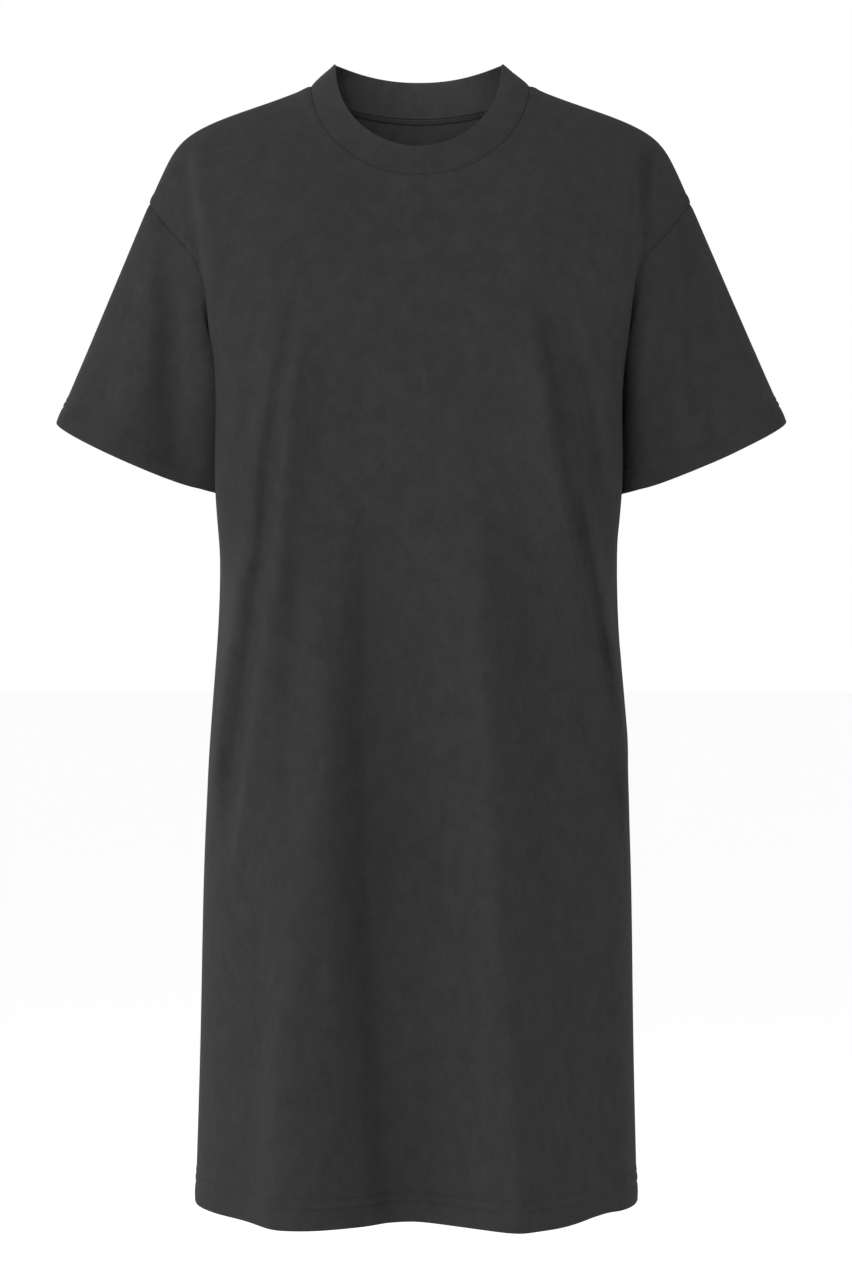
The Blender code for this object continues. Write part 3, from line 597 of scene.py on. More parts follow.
def make_sleeve(side):
    """The sleeve and its normals as functions of the shares round it and down it, and the first.

    Round it, 0 and 1 are the underarm, and 0.5 is the shoulder.
    """
    places = armhole_places()
    ring = plain_body(np.full(len(places), float(side)), places)
    length = np.concatenate([[0], np.cumsum(np.linalg.norm(np.diff(ring, axis=0), axis=1))])
    middle = length[ARMHOLE_TOP]
    front = 0.5 * length / middle
    back = 0.5 + 0.5 * (length - middle) / (length[-1] - middle)
    shares = np.where(places <= 0, front, back)
    folds = FOLDS["left sleeve" if side > 0 else "right sleeve"]
    less = 0.0 if side > 0 else CUFF_RIGHT_LESS

    def cuff(share):
        angle = 2 * np.pi * share
        along = np.array([side * np.sin(SLEEVE_LEAN), 0, -np.cos(SLEEVE_LEAN)])
        inward = np.array([-side * np.cos(SLEEVE_LEAN), 0, -np.sin(SLEEVE_LEAN)])
        swell = np.sign(np.sin(angle)) * np.abs(np.sin(angle)) ** CUFF_SQUARE
        drop = np.where(share < 0.5, CUFF_DROP_FRONT, CUFF_DROP_BACK) * np.abs(np.sin(angle))
        return sway((np.array(CUFF_CENTRE) - (less, 0, 0)) * (side, 1, 1)
                    + np.outer((CUFF_HALF_WIDTH - less) * np.cos(angle), inward)
                    + np.outer(-CUFF_HALF_DEPTH * swell, (0, 1, 0))
                    + np.outer(drop, along))

    def plain(around, down):
        s = np.interp(around, shares, places)
        start = plain_body(np.full(len(s), float(side)), s)
        return start * (1 - down)[:, None] + cuff(around) * down[:, None]

    def sleeve(around, down):
        points = plain(around, down)
        outward = -side * slopes(plain, around, down, U_STEP, DOWN_STEP, (0, 1), (0, 1))
        height = fold_height(folds, points[:, 0], points[:, 2])
        height *= smoothstep(np.sin(2 * np.pi * around) / SLEEVE_SIDE_FADE)
        height *= smoothstep(down / SLEEVE_TOP_FADE)
        return points + outward * height[:, None]

    def normals(around, down):
        return -side * slopes(sleeve, around, down, U_STEP, DOWN_STEP, (0, 1), (0, 1))

    return sleeve, normals, shares


# ---- grids of cloth ------------------------------------------------------------------------------
def lengths_from_first(points, axis):
    """Distance of each point of a grid from its first column (axis 0) or row (1), along the cloth."""
    steps = np.linalg.norm(np.diff(points, axis=axis), axis=-1)
    zero = np.zeros_like(np.take(steps, [0], axis=axis))
    return np.concatenate([zero, np.cumsum(steps, axis=axis)], axis=axis)


def lengths_from_last_row(points):
    return lengths_from_first(points[:, ::-1], 1)[:, ::-1]


def blend(at, places, points):
    """Points on a line of points, at numbers between the places that the line's points have."""
    return np.stack([np.interp(at, places, points[:, axis]) for axis in range(3)], axis=-1)


class Cloth:
    """A grid of points on one piece, columns by rows, with the way out of it at each.

    seam_gap is each point's distance from the nearest seam, and hem_gap from its hem.
    """

    def __init__(self, points, own, seam_normals, seam_gap, hem_gap):
        self.points = points
        self.seam_gap = seam_gap
        self.hem_gap = hem_gap
        lean = bell(seam_gap / SEAM_LEAN_REACH)[..., None]
        self.out = unit(own * (1 - lean) + seam_normals * lean)
        self.mitre = 1 / np.clip(np.sum(own * self.out, axis=-1), 1 / MITRE_MOST, 1.0)
        across = lengths_from_first(points, 0)
        middle = across[across.shape[0] // 2][None, :]
        self.flat = np.stack([across - middle, lengths_from_first(points, 1)], axis=-1)

    def lift(self, height, way=None):
        """Moves the cloth by a height at each point, out of the piece or straight along a way."""
        self.points = self.points + (self.out if way is None else way) * height[..., None]


def nearest_seam_normals(edges):
    """For each point of a grid, the shared normal of its nearest sewn edge.

    edges holds pairs: the distances of all points from the edge, and the edge's normals spread over
    the grid.
    """
    gaps = np.stack([gap for gap, _ in edges])
    spread = np.stack([normals for _, normals in edges])
    nearest = np.argmin(gaps, axis=0)
    chosen = np.take_along_axis(spread, nearest[None, ..., None], axis=0)[0]
    return np.min(gaps, axis=0), chosen


def nearest_on_line(points, line):
    """Distance of each point of a grid from a line of points, and the line's nearest point."""
    gap = np.full(points.shape[:-1], np.inf)
    nearest = np.zeros(points.shape[:-1], int)
    for k, (start, end) in enumerate(zip(line, line[1:])):
        ahead = end - start
        share = np.clip((points - start) @ ahead / (ahead @ ahead), 0, 1)
        here = np.linalg.norm(points - start - share[..., None] * ahead, axis=-1)
        closer = here < gap
        gap = np.where(closer, here, gap)
        nearest = np.where(closer, k + np.round(share).astype(int), nearest)
    return gap, nearest


def uneven_wave(along, radian, swing, swing_radian):
    """A wave from -1 to 1 whose length swings round that of its radian."""
    return np.sin(along / radian + swing * np.sin(along / swing_radian))


def hem_shape(gap, lines, turn, along):
    """Height of the outside at a distance from the hem's edge: needle rows, puffs and ripples."""
    first, second = lines
    from_rows = gap - (first + second) / 2
    height = -NEEDLE_SINK * sum(bell((gap - line) / NEEDLE_REACH) for line in lines)
    height += HEM_PUFF * bell((gap / first - HEM_PUFF_PLACE) / HEM_PUFF_REACH)
    height += ROW_PUFF * bell(from_rows / ROW_PUFF_REACH)
    height += HEM_STEP * smoothstep((turn + HEM_STEP_START - gap) / HEM_STEP_REACH)
    height -= HEM_ROUND * smoothstep(1 - gap / HEM_ROUND_REACH)
    strength = np.sin(along / RIPPLE_PATCH + gap / RIPPLE_PATCH_ACROSS)
    ripple = RIPPLE * strength * uneven_wave(along, *RIPPLE_WAVE)
    return height + ripple * bell(from_rows / RIPPLE_REACH)


def pucker(gap, along):
    """Height of the small puckers across a seam, stronger and weaker along it."""
    strength = PUCKER_MEAN + (1 - PUCKER_MEAN) * np.sin(along / PUCKER_PATCH)
    wave = PUCKER * strength * uneven_wave(along, *PUCKER_WAVE)
    return wave * bell((gap - PUCKER_REACH) / PUCKER_REACH)


class Pattern:
    """All grids of the dress, sewn edge to edge."""

    def __init__(self):
        self.sleeves = {side: make_sleeve(side) for side in (-1, 1)}
        self.armholes = {side: self.armhole_normals(side) for side in (-1, 1)}
        grids = {}
        for side in (-1, 1):
            u, s = panel_places(side)
            grids[side] = u, s, *body_grid(u, s, side)
        self.make_band(grids)
        self.panels = {side: self.make_panel(side, *grids[side]) for side in (-1, 1)}
        self.sleeve_cloth = {side: self.make_sleeve_cloth(side) for side in (-1, 1)}

    def armhole_normals(self, side):
        """Between body and sleeve, round the armhole."""
        _, normals, shares = self.sleeves[side]
        s = armhole_places()
        u = np.full(len(s), float(side))
        front = s <= 0
        own = np.zeros((len(s), 3))
        own[front] = body_normals(u[front], s[front], -1)
        own[~front] = body_normals(u[~front], s[~front], 1)
        shared = unit(own + normals(shares, np.zeros(len(shares))))
        shared[0] = shared[-1] = unit(shared[0] + shared[-1])
        return shared

    def make_band(self, grids):
        """The neck edge, the band's fold above it, and the normals that band and panels share."""
        front, back = grids[-1][2][NECK, -1], grids[1][2][NECK, -1]
        low = np.concatenate([front, back[-2:0:-1]])
        share = np.clip((low[:, 0] - SWAY) / NECK_HALF_WIDTH, -1, 1)
        lift = np.sqrt(1 - share ** 2)
        at_back = np.arange(len(low)) > 2 * NECK_COLUMNS
        y_reach = np.where(at_back, BAND_TOP_BACK[0], BAND_TOP_FRONT[0]) - BAND_TOP_SIDE_Y
        y = y_reach * lift ** np.where(at_back, BAND_BACK_ROUND, 1.0)
        in_front = BAND_TOP_HEIGHT + (BAND_TOP_FRONT[1] - BAND_TOP_HEIGHT) * lift
        in_front += BAND_TIP_RISE * bell(lift / BAND_TIP_RISE_REACH)
        in_front -= BAND_TIP_DROP * bell(lift / BAND_TIP_DROP_REACH)
        tip = BAND_TOP_HEIGHT + BAND_TIP_RISE - BAND_TIP_DROP
        dip = tip - BAND_TOP_BACK[1] + BAND_BACK_RISE * (BAND_TOP_BACK[0] - BAND_TOP_SIDE_Y)
        behind = tip + BAND_BACK_RISE * y - dip * (1 - np.abs(share) ** BAND_BACK_DIP)
        z = np.where(at_back, behind, in_front)
        x = BAND_TOP_HALF_WIDTH * share + BAND_TOP_X
        top = sway(np.stack([x, BAND_TOP_SIDE_Y + y, z], axis=1))
        along = np.roll(low, -1, axis=0) - np.roll(low, 1, axis=0)
        own = unit(np.cross(along, top - low))
        last = 2 * NECK_COLUMNS
        panel_own = np.concatenate([grids[-1][3][NECK, -1], grids[1][3][NECK, -1][-2:0:-1]])
        shared = unit(panel_own + own)
        for point, column in ((0, NECK.start), (last, NECK.stop - 1)):
            shared[point] = unit(shared[point] + unit(grids[1][3][column, -1] + own[point]))
        self.band_low, self.band_top, self.band_own, self.band_shared = low, top, own, shared

    def make_panel(self, side, u, s, points, own):
        columns, rows = points.shape[:2]
        underarm = rows - 1 - ARMHOLE_TOP
        right, left = own[0].copy(), own[-1].copy()
        for hand, edge in ((-1, right), (1, left)):
            depth = np.abs(s[0, :underarm])
            seam_u = np.full(len(depth), float(hand))
            edge[:underarm] = unit(body_normals(seam_u, -depth, -1) + body_normals(seam_u, depth, 1))
            half = self.armholes[hand][:ARMHOLE_TOP + 1]
            if side > 0:
                half = self.armholes[hand][:ARMHOLE_TOP - 1:-1]
            edge[underarm:] = half
        top = own[:, -1].copy()
        shoulder = np.r_[0:NECK.start, NECK.stop:columns]
        zero = np.zeros(len(shoulder))
        top[shoulder] = unit(body_normals(u[shoulder, -1], zero, -1)
                             + body_normals(u[shoulder, -1], zero, 1))
        last = 2 * NECK_COLUMNS
        if side < 0:
            top[NECK] = self.band_shared[:last + 1]
        else:
            order = np.concatenate([[0], np.arange(len(self.band_low) - 1, last, -1), [last]])
            top[NECK] = self.band_shared[order]
        top[0], top[-1] = right[-1], left[-1]
        across = lengths_from_first(points, 0)
        side_gap = np.minimum(across, across[-1:] - across)
        up = lengths_from_first(points, 1)
        down = lengths_from_last_row(points)
        down[NECK.start + 1:NECK.stop - 1] = np.inf
        neck_gap, neck_point = nearest_on_line(points, points[NECK, -1])
        seam_gap, seam_normals = nearest_seam_normals((
            (neck_gap, top[NECK][neck_point]),
            (down, np.broadcast_to(top[:, None], points.shape)),
            (across, np.broadcast_to(right[None], points.shape)),
            (across[-1:] - across, np.broadcast_to(left[None], points.shape)),
        ))
        cloth = Cloth(points, own, seam_normals, seam_gap, up)
        creases = CREASES["front" if side < 0 else "back"]
        height = crease_height(creases, points[..., 0], points[..., 2])
        cloth.lift(height * smoothstep(seam_gap / CREASE_CLEAR), np.array([0.0, side, 0.0]))
        cloth.lift(hem_shape(up, HEM_LINES, HEM_TURN, cloth.flat[..., 0])
                   * smoothstep(side_gap / SIDE_CLEAR))
        armhole_gap = np.where(np.abs(s) < UNDERARM, side_gap, np.inf)
        inside = smoothstep((ALLOWANCE - np.minimum(neck_gap, armhole_gap)) / ALLOWANCE_EDGE)
        round_neck = lengths_from_first(points[NECK], 0)[:, -1]
        wavy = pucker(neck_gap, round_neck[neck_point]) + pucker(armhole_gap, up)
        below_top = smoothstep((UNDERARM - np.abs(s)) / ALLOWANCE)
        cloth.lift((ALLOWANCE_RISE * inside + wavy) * below_top)
        cloth.lift(-SEAM_ROLL * np.exp(-seam_gap / SEAM_ROLL_REACH))
        return cloth

    def make_sleeve_cloth(self, side):
        sleeve, _, shares = self.sleeves[side]
        length = np.linalg.norm(sleeve(np.array([0.5]), np.array([0.0]))
                                - sleeve(np.array([0.5]), np.array([1.0])))
        ticks = np.array(SEAM_TICKS)
        cuff = length - np.array(CUFF_TICKS)[::-1]
        middle = even(ticks[-1], cuff[0], SLEEVE_STEP)
        down = np.concatenate([ticks, middle[1:-1], cuff]) / length
        around, down = np.meshgrid(shares, down, indexing="ij")
        shape = around.shape + (3,)
        points = sleeve(around.ravel(), down.ravel()).reshape(shape)
        own = -side * grid_normals(points)
        points[-1] = points[0]
        seam = unit(own[0] + own[-1])
        seam[0] = self.armholes[side][0]
        across = lengths_from_first(points, 0)
        side_gap = np.minimum(across, across[-1:] - across)
        below = lengths_from_first(points, 1)
        seam_gap, seam_normals = nearest_seam_normals((
            (below, np.broadcast_to(self.armholes[side][:, None], shape)),
            (side_gap, np.broadcast_to(seam[None], shape)),
        ))
        gap = lengths_from_last_row(points)
        cloth = Cloth(points, own, seam_normals, seam_gap, gap)
        name = "left sleeve" if side > 0 else "right sleeve"
        for half, here in (("front", around < 0.5), ("back", around >= 0.5)):
            height = crease_height(CREASES[f"{name} {half}"], points[..., 0], points[..., 2])
            clear = np.abs(np.sin(2 * np.pi * around)) / SLEEVE_SIDE_FADE
            height = height * smoothstep(clear) * smoothstep(below / SLEEVE_CREASE_CLEAR)
            cloth.lift(np.where(here, height, 0.0))
        clear = smoothstep(side_gap / SIDE_CLEAR)
        cloth.lift(pucker(below, across) * clear)
        cloth.lift(hem_shape(gap, CUFF_LINES, CUFF_TURN, across) * clear)
        cloth.lift(-SEAM_ROLL * np.exp(-seam_gap / SEAM_ROLL_REACH))
        return cloth


@functools.cache
def pattern():
    return Pattern()


# ---- shells --------------------------------------------------------------------------------------
def shell_mesh(columns, rows, closed):
    """A grid of quads extruded into a wall. Attributes keep each vertex's column, row and layer."""
    mesh = bmesh.new()
    bmesh.ops.create_grid(mesh, x_segments=columns, y_segments=rows, size=1.0)
    column_of = mesh.verts.layers.int.new("column")
    row_of = mesh.verts.layers.int.new("row")
    layer_of = mesh.verts.layers.int.new("layer")
    for vertex in mesh.verts:
        vertex[column_of] = round((vertex.co.x + 1) / 2 * columns)
        vertex[row_of] = round((vertex.co.y + 1) / 2 * rows)
    if closed:
        first = {v[row_of]: v for v in mesh.verts if v[column_of] == 0}
        last = [v for v in mesh.verts if v[column_of] == columns]
        bmesh.ops.weld_verts(mesh, targetmap={v: first[v[row_of]] for v in last})
    grown = bmesh.ops.extrude_face_region(mesh, geom=mesh.faces[:])
    for item in grown["geom"]:
        if isinstance(item, bmesh.types.BMVert):
            item[layer_of] = 1
    return mesh


def read_numbers(data, name, count):
    values = np.zeros(count, np.int32)
    data.attributes[name].data.foreach_get("value", values)
    return values


def add_shell(name, outer, inner, flat, closed, materials):
    """A closed wall between two grids of points, in millimetres, with its flat cut as UV in metres.

    materials holds the outside's and the inside's.
    """
    columns, rows = outer.shape[0] - 1, outer.shape[1] - 1
    mesh = shell_mesh(columns, rows, closed)
    data = bpy.data.meshes.new(name)
    mesh.to_mesh(data)
    count = len(data.vertices)
    column, row, layer = (read_numbers(data, key, count) for key in ("column", "row", "layer"))
    places = np.where(layer[:, None] == 1, inner[column, row], outer[column, row])
    data.vertices.foreach_set("co", (places * MM).ravel())
    corner = np.zeros(len(data.loops), np.int32)
    data.loops.foreach_get("vertex_index", corner)
    corner_column = column[corner].reshape(-1, 4)
    wrapped = (corner_column == 0) & (corner_column.max(axis=1, keepdims=True) > columns // 2)
    if closed:
        corner_column = np.where(wrapped, columns, corner_column)
    uv = flat[corner_column.ravel(), row[corner]] * MM
    data.uv_layers.new(name="cloth").data.foreach_set("uv", uv.ravel())
    inside = (layer[corner].reshape(-1, 4).min(axis=1) == 1).astype(np.int32)
    data.polygons.foreach_set("material_index", inside)
    for key in ("column", "row", "layer"):
        data.attributes.remove(data.attributes[key])
    for material in materials:
        data.materials.append(material)
    mesh.clear()
    mesh.from_mesh(data)
    bmesh.ops.recalc_face_normals(mesh, faces=mesh.faces[:])
    mesh.to_mesh(data)
    mesh.free()
    data.shade_smooth()
    piece = bpy.data.objects.new(name, data)
    bpy.context.scene.collection.objects.link(piece)
    return piece


def drawn_in(gap, radius):
    """How far a wall's faces draw in at a distance from its round edge."""
    rise = np.clip(radius - gap, 0, radius)
    return np.minimum(radius - np.sqrt(radius ** 2 - rise ** 2), radius * ROUND_MOST)


def wall(cloth, thickness, turn):
    """Outer and inner points of a piece: doubled below the turn of its hem, and round at its edge."""
    thick = thickness * (1 + smoothstep((turn - cloth.hem_gap) / TURN_SOFT + 0.5))
    round_in = drawn_in(cloth.hem_gap, thickness * WALL_ROUND)
    outer = cloth.points - cloth.out * round_in[..., None]
    inner = cloth.points - cloth.out * ((thick - round_in) * cloth.mitre)[..., None]
    return outer, inner


# ---- materials -----------------------------------------------------------------------------------
def linear(hex_colour):
    """An sRGB hex colour as scene-linear RGBA."""
    parts = [int(hex_colour[k:k + 2], 16) / 255 for k in (1, 3, 5)]
    return [p / 12.92 if p <= 0.04045 else ((p + 0.055) / 1.055) ** 2.4 for p in parts] + [1.0]


def add_node(tree, kind, links=None, **settings):
    """Adds a node. links maps its inputs to values or to other nodes' outputs."""
    node = tree.nodes.new(kind)
    for key, value in settings.items():
        setattr(node, key, value)
    for key, value in (links or {}).items():
        if isinstance(value, bpy.types.NodeSocket):
            tree.links.new(value, node.inputs[key])
        else:
            node.inputs[key].default_value = value
    return node


def shaded_material(name, finish):
    """A new material and its shader, with the shader's settings."""
    material = bpy.data.materials.new(name)
    material.use_nodes = True
    shader = material.node_tree.nodes["Principled BSDF"]
    for key, value in finish.items():
        shader.inputs[key].default_value = value
    return material, shader


# One loop of knitting: its width (wale) and height (course), how far it stands out (relief), how deep
# the furrow beside a wale is, as a share of that, and how far the legs rise over half a wale, in courses.
Knit = collections.namedtuple("Knit", "wale course relief furrow slant")
LOOP_SWELL = 0.35           # how far each loop swells, as a share of the relief
FUZZ_SWELL = 0.8            # and how far its loose fibre ends do
# Size in millimetres, octaves and roughness of three noises: the tufts of the fibre ends, the patches
# where the pile lies this way and that, from 14 mm down to 1, and the flecks of single fibres.
TUFTS = (0.9, 3.0, 0.5)
PATCHES = (14.0, 4.0, 0.85)
FLECKS = (1.6, 2.0, 0.5)
PATCH_CONTRAST = 0.72
FLECK_CONTRAST = 0.16
PILE_STRETCH = 0.75         # below 1 the patches are longer down the dress
BUMP_STRENGTH = 0.6
# Spun cotton scatters light from its fibre ends, so it is matt, with hardly any gloss or sheen.
COTTON = {"Roughness": 0.92, "Specular IOR Level": 0.04, "Sheen Weight": 0.01, "Sheen Roughness": 0.5}


def knit_material(name, colour, loop):
    """Cotton knit with a brushed pile. Its wales run along V of the flat cut, and its courses along U."""
    material, shader = shaded_material(name, COTTON)
    tree = material.node_tree
    flat = add_node(tree, "ShaderNodeSeparateXYZ",
                    {0: add_node(tree, "ShaderNodeUVMap", uv_map="cloth").outputs[0]})
    solid = add_node(tree, "ShaderNodeTexCoord").outputs["Object"]
    pile = add_node(tree, "ShaderNodeMapping", {"Vector": solid, "Scale": (1.0, 1.0, PILE_STRETCH)})
    found = {"u": flat.outputs[0], "v": flat.outputs[1]}
    for key, place, (size, octaves, roughness) in (
            ("tufts", solid, TUFTS), ("patches", pile.outputs[0], PATCHES), ("flecks", solid, FLECKS)):
        noise = add_node(tree, "ShaderNodeTexNoise", {
            "Vector": place, "Scale": 1 / (size * MM), "Detail": octaves, "Roughness": roughness})
        found[key] = noise.outputs[0]
    # Each step has a name, and works on numbers and on what was found before. Spread is 0 in the middle
    # of a wale and 1 at its edge. The legs slant with it, so rows of loops are rows of Vs on the face,
    # and arches on the purl side. Patches and flecks leave the colour as it is on average.
    for key, operation, *values in (
            ("across", "DIVIDE", "u", loop.wale * MM),
            ("up", "DIVIDE", "v", loop.course * MM),
            ("part", "PINGPONG", "across", 0.5),
            ("spread", "MULTIPLY", "part", 2.0),
            ("leg", "MULTIPLY_ADD", "spread", loop.slant, "up"),
            ("turn", "MULTIPLY", "leg", 2 * np.pi),
            ("wave", "COSINE", "turn"),
            ("loops", "MULTIPLY_ADD", "wave", LOOP_SWELL, 0.5),
            ("furrow", "POWER", "spread", 2.0),
            ("knit", "MULTIPLY_ADD", "furrow", -loop.furrow, "loops"),
            ("height", "MULTIPLY_ADD", "tufts", FUZZ_SWELL, "knit"),
            ("tone", "MULTIPLY_ADD", "patches", PATCH_CONTRAST, 1 - PATCH_CONTRAST / 2),
            ("grain", "MULTIPLY_ADD", "flecks", FLECK_CONTRAST, -FLECK_CONTRAST / 2),
            ("shade", "ADD", "tone", "grain")):
        inputs = {k: found.get(value, value) for k, value in enumerate(values)}
        found[key] = add_node(tree, "ShaderNodeMath", inputs, operation=operation).outputs[0]
    bump = add_node(tree, "ShaderNodeBump", {"Height": found["height"], "Distance": loop.relief * MM,
                                             "Strength": BUMP_STRENGTH})
    tint = add_node(tree, "ShaderNodeVectorMath", {0: colour, "Scale": found["shade"]},
                    operation="SCALE")
    tree.links.new(bump.outputs[0], shader.inputs["Normal"])
    tree.links.new(tint.outputs[0], shader.inputs["Base Color"])
    return material


def plain_material(name, colour, roughness):
    finish = {"Base Color": colour, "Roughness": roughness, "Specular IOR Level": 0.3}
    return shaded_material(name, finish)[0]


@functools.cache
def materials():
    look = bpy.context.scene.dress_cloth
    jersey, rib = look.jersey_colour[:], look.rib_colour[:]
    return {
        # Single jersey of combed cotton, dyed charcoal and brushed: matt, and clouded by its short pile.
        # Its loops are 0.75 by 0.55 mm, and are drawn larger, or they wouldn't show.
        "jersey": knit_material("cotton_jersey", jersey, Knit(1.1, 0.9, 0.10, 0.45, 0.55)),
        # Its back, inside the dress, where the loops lie in rows of small arches.
        "purl": knit_material("cotton_jersey_purl_side", jersey, Knit(1.1, 0.9, 0.10, 0.45, -0.9)),
        # One-and-one rib of the same yarn: upright ribs at their real 1.5 mm, with deep furrows between.
        "rib": knit_material("cotton_rib", rib, Knit(1.5, 0.9, 0.22, 1.0, 0.55)),
        # Spun polyester thread in the cloth's colour, a little glossier than cotton. A stitch is narrower
        # than a pixel, so its twist wouldn't show at any size that fits on it.
        "thread": plain_material("spun_polyester_thread", (*look.thread_colour, 1.0), 0.6),
    }


# ---- settings ------------------------------------------------------------------------------------
class DressCloth(bpy.types.PropertyGroup):
    """Thickness and colour of the cloth."""
    jersey_thickness: FloatProperty(
        name="Jersey thickness", description="One layer of the jersey", default=0.9 * MM,
        min=0.4 * MM, max=1.3 * MM, unit="LENGTH")
    band_thickness: FloatProperty(
        name="Neckband thickness", description="The rib, folded double", default=2.3 * MM,
        min=1.0 * MM, max=2.4 * MM, unit="LENGTH")
    tape_thickness: FloatProperty(
        name="Tape thickness", description="The tape inside the back neck", default=0.8 * MM,
        min=0.4 * MM, max=1.0 * MM, unit="LENGTH")
    jersey_colour: FloatVectorProperty(
        name="Jersey", description="Colour of the jersey", default=linear("#2c2c2c")[:3],
        subtype="COLOR", min=0.0, max=1.0)
    rib_colour: FloatVectorProperty(
        name="Rib", description="Colour of the neckband", default=linear("#2d2d2d")[:3],
        subtype="COLOR", min=0.0, max=1.0)
    thread_colour: FloatVectorProperty(
        name="Thread", description="Colour of the sewing thread", default=linear("#2b2b2b")[:3],
        subtype="COLOR", min=0.0, max=1.0)


class DressSewing(bpy.types.PropertyGroup):
    """Sizes of the stitching."""
    stitch_pitch: FloatProperty(
        name="Stitch pitch", description="From one needle hole to the next", default=3.0 * MM,
        min=2.0 * MM, max=5.0 * MM, unit="LENGTH")
    thread_width: FloatProperty(
        name="Thread width", description="Thickness of the sewing thread", default=0.42 * MM,
        min=0.2 * MM, max=1.0 * MM, unit="LENGTH")


class DressStage(bpy.types.PropertyGroup):
    """Floor, light and camera."""
    floor_depth: FloatProperty(
        name="Floor", description="How far the floor is below the neck point", default=1.42,
        min=1.0, max=2.0, unit="LENGTH")
    key_power: FloatProperty(
        name="Key light", description="Power of the soft light on the right of the dress", default=40.0,
        min=0.0, max=500.0, unit="POWER")
    front_power: FloatProperty(
        name="Front light", description="Power of the soft light in front", default=30.0,
        min=0.0, max=500.0, unit="POWER")
    back_power: FloatProperty(
        name="Back light", description="Power of the soft light behind the dress", default=24.0,
        min=0.0, max=500.0, unit="POWER")
    collar_power: FloatProperty(
        name="Collar light", description="Power of the spot that lights the neck's inside",
        default=72.0, min=0.0, max=500.0, unit="POWER")
    room_light: FloatProperty(
        name="Room light", description="Strength of the even light of the room", default=1.0,
        min=0.0, max=5.0)
    camera_distance: FloatProperty(
        name="Camera distance", description="From the camera to the side seams", default=2.9,
        min=1.0, max=10.0, unit="LENGTH")


# ---- operators -----------------------------------------------------------------------------------
class DRESS_OT_panels(bpy.types.Operator):
    """Hangs the front and the back panel"""
    bl_idname = "dress.panels"
    bl_label = "Front and back panels"

    def execute(self, context):
        thickness = context.scene.dress_cloth.jersey_thickness / MM
        looks = materials()["jersey"], materials()["purl"]
        for side, node, flat, area, on_it in (
                (-1, "front_panel", (0.61, 1.01), 0.50, ["hem_stitches", "hem_cover_thread"]),
                (1, "back_panel", (0.54, 0.99), 0.47, ["neck_tape_strip"])):
            cloth = pattern().panels[side]
            outer, inner = wall(cloth, thickness, HEM_TURN)
            piece = add_shell(f"{node}_jersey", outer, inner, cloth.flat, False, looks)
            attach(piece, "root")
            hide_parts(node)
        return {"FINISHED"}


class DRESS_OT_sleeves(bpy.types.Operator):
    """Sets both sleeves into the armholes"""
    bl_idname = "dress.sleeves"
    bl_label = "Sleeves"

    def execute(self, context):
        thickness = context.scene.dress_cloth.jersey_thickness / MM
        looks = materials()["jersey"], materials()["purl"]
        for side, hand in ((-1, "right"), (1, "left")):
            cloth = pattern().sleeve_cloth[side]
            outer, inner = wall(cloth, thickness, CUFF_TURN)
            piece = add_shell(f"{hand}_sleeve_jersey", outer, inner, cloth.flat, True, looks)
            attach(piece, "root")
            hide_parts(f"{hand}_sleeve")
        return {"FINISHED"}


class DRESS_OT_neckband(bpy.types.Operator):
    """Sews the folded neckband to the neck edge, and the tape inside the back neck"""
    bl_idname = "dress.neckband"
    bl_label = "Neckband and tape"

    def execute(self, context):
        cut = pattern()
        thickness = context.scene.dress_cloth.band_thickness / MM
        height = np.linalg.norm(cut.band_top - cut.band_low, axis=1)
        mean = height.mean()
        middle = even(SEAM_TICKS[-1], mean - BAND_TOP_TICKS[0], BAND_STEP)[1:-1]
        share = np.concatenate([SEAM_TICKS, middle, mean - np.array(BAND_TOP_TICKS)]) / mean
        up = share[:, None]
        rings = cut.band_low[:, None] * (1 - up) + cut.band_top[:, None] * up
        out = unit(cut.band_shared[:, None] * (1 - up) + cut.band_own[:, None] * up)
        gap = share * height[:, None]
        rise = BAND_PROUD + BAND_CROWN * np.sin(np.pi * share)
        rise = rise - (SEAM_ROLL + BAND_PROUD) * np.exp(-gap / SEAM_ROLL_REACH)
        round_in = drawn_in(height[:, None] - gap, thickness / 2)
        outer = rings + out * (rise - round_in)[..., None]
        inner = rings + out * (BAND_PROUD - thickness + round_in)[..., None]
        outer, inner = (np.concatenate([grid, grid[:1]]) for grid in (outer, inner))
        flat = np.stack([lengths_from_first(outer, 0), lengths_from_first(outer, 1)], axis=-1)
        looks = materials()["rib"], materials()["rib"]
        piece = add_shell("neckband_rib", outer, inner, flat, True, looks)
        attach(piece, "root")
        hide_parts("neckband")
        self.sew_tape(context)
        return {"FINISHED"}

    def sew_tape(self, context):
        cloth = pattern().panels[1]
        jersey = context.scene.dress_cloth.jersey_thickness / MM
        thickness = context.scene.dress_cloth.tape_thickness / MM
        _, inner = wall(cloth, jersey, HEM_TURN)
        grids = [grid[NECK][TAPE_COLUMNS] for grid in (inner, cloth.out, lengths_from_last_row(inner))]
        rows = [row_at(*grids, tick) for tick in TAPE_TICKS]
        face, out = (np.stack(row, axis=1) for row in zip(*rows))
        ticks = np.array(TAPE_TICKS)
        edge = np.minimum(ticks - ticks[0], ticks[-1] - ticks)
        body_side = face - out * TAPE_CLEAR
        thick = thickness * (TAPE_EDGE + (1 - TAPE_EDGE) * smoothstep(edge / TAPE_EDGE_REACH))
        worn_side = body_side - out * thick[:, None]
        flat = np.stack([lengths_from_first(face, 0), lengths_from_first(face, 1)], axis=-1)
        looks = materials()["jersey"], materials()["jersey"]
        piece = add_shell("neck_tape_strip", body_side, worn_side, flat, False, looks)
        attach(piece, "root")
        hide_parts("neck_tape")


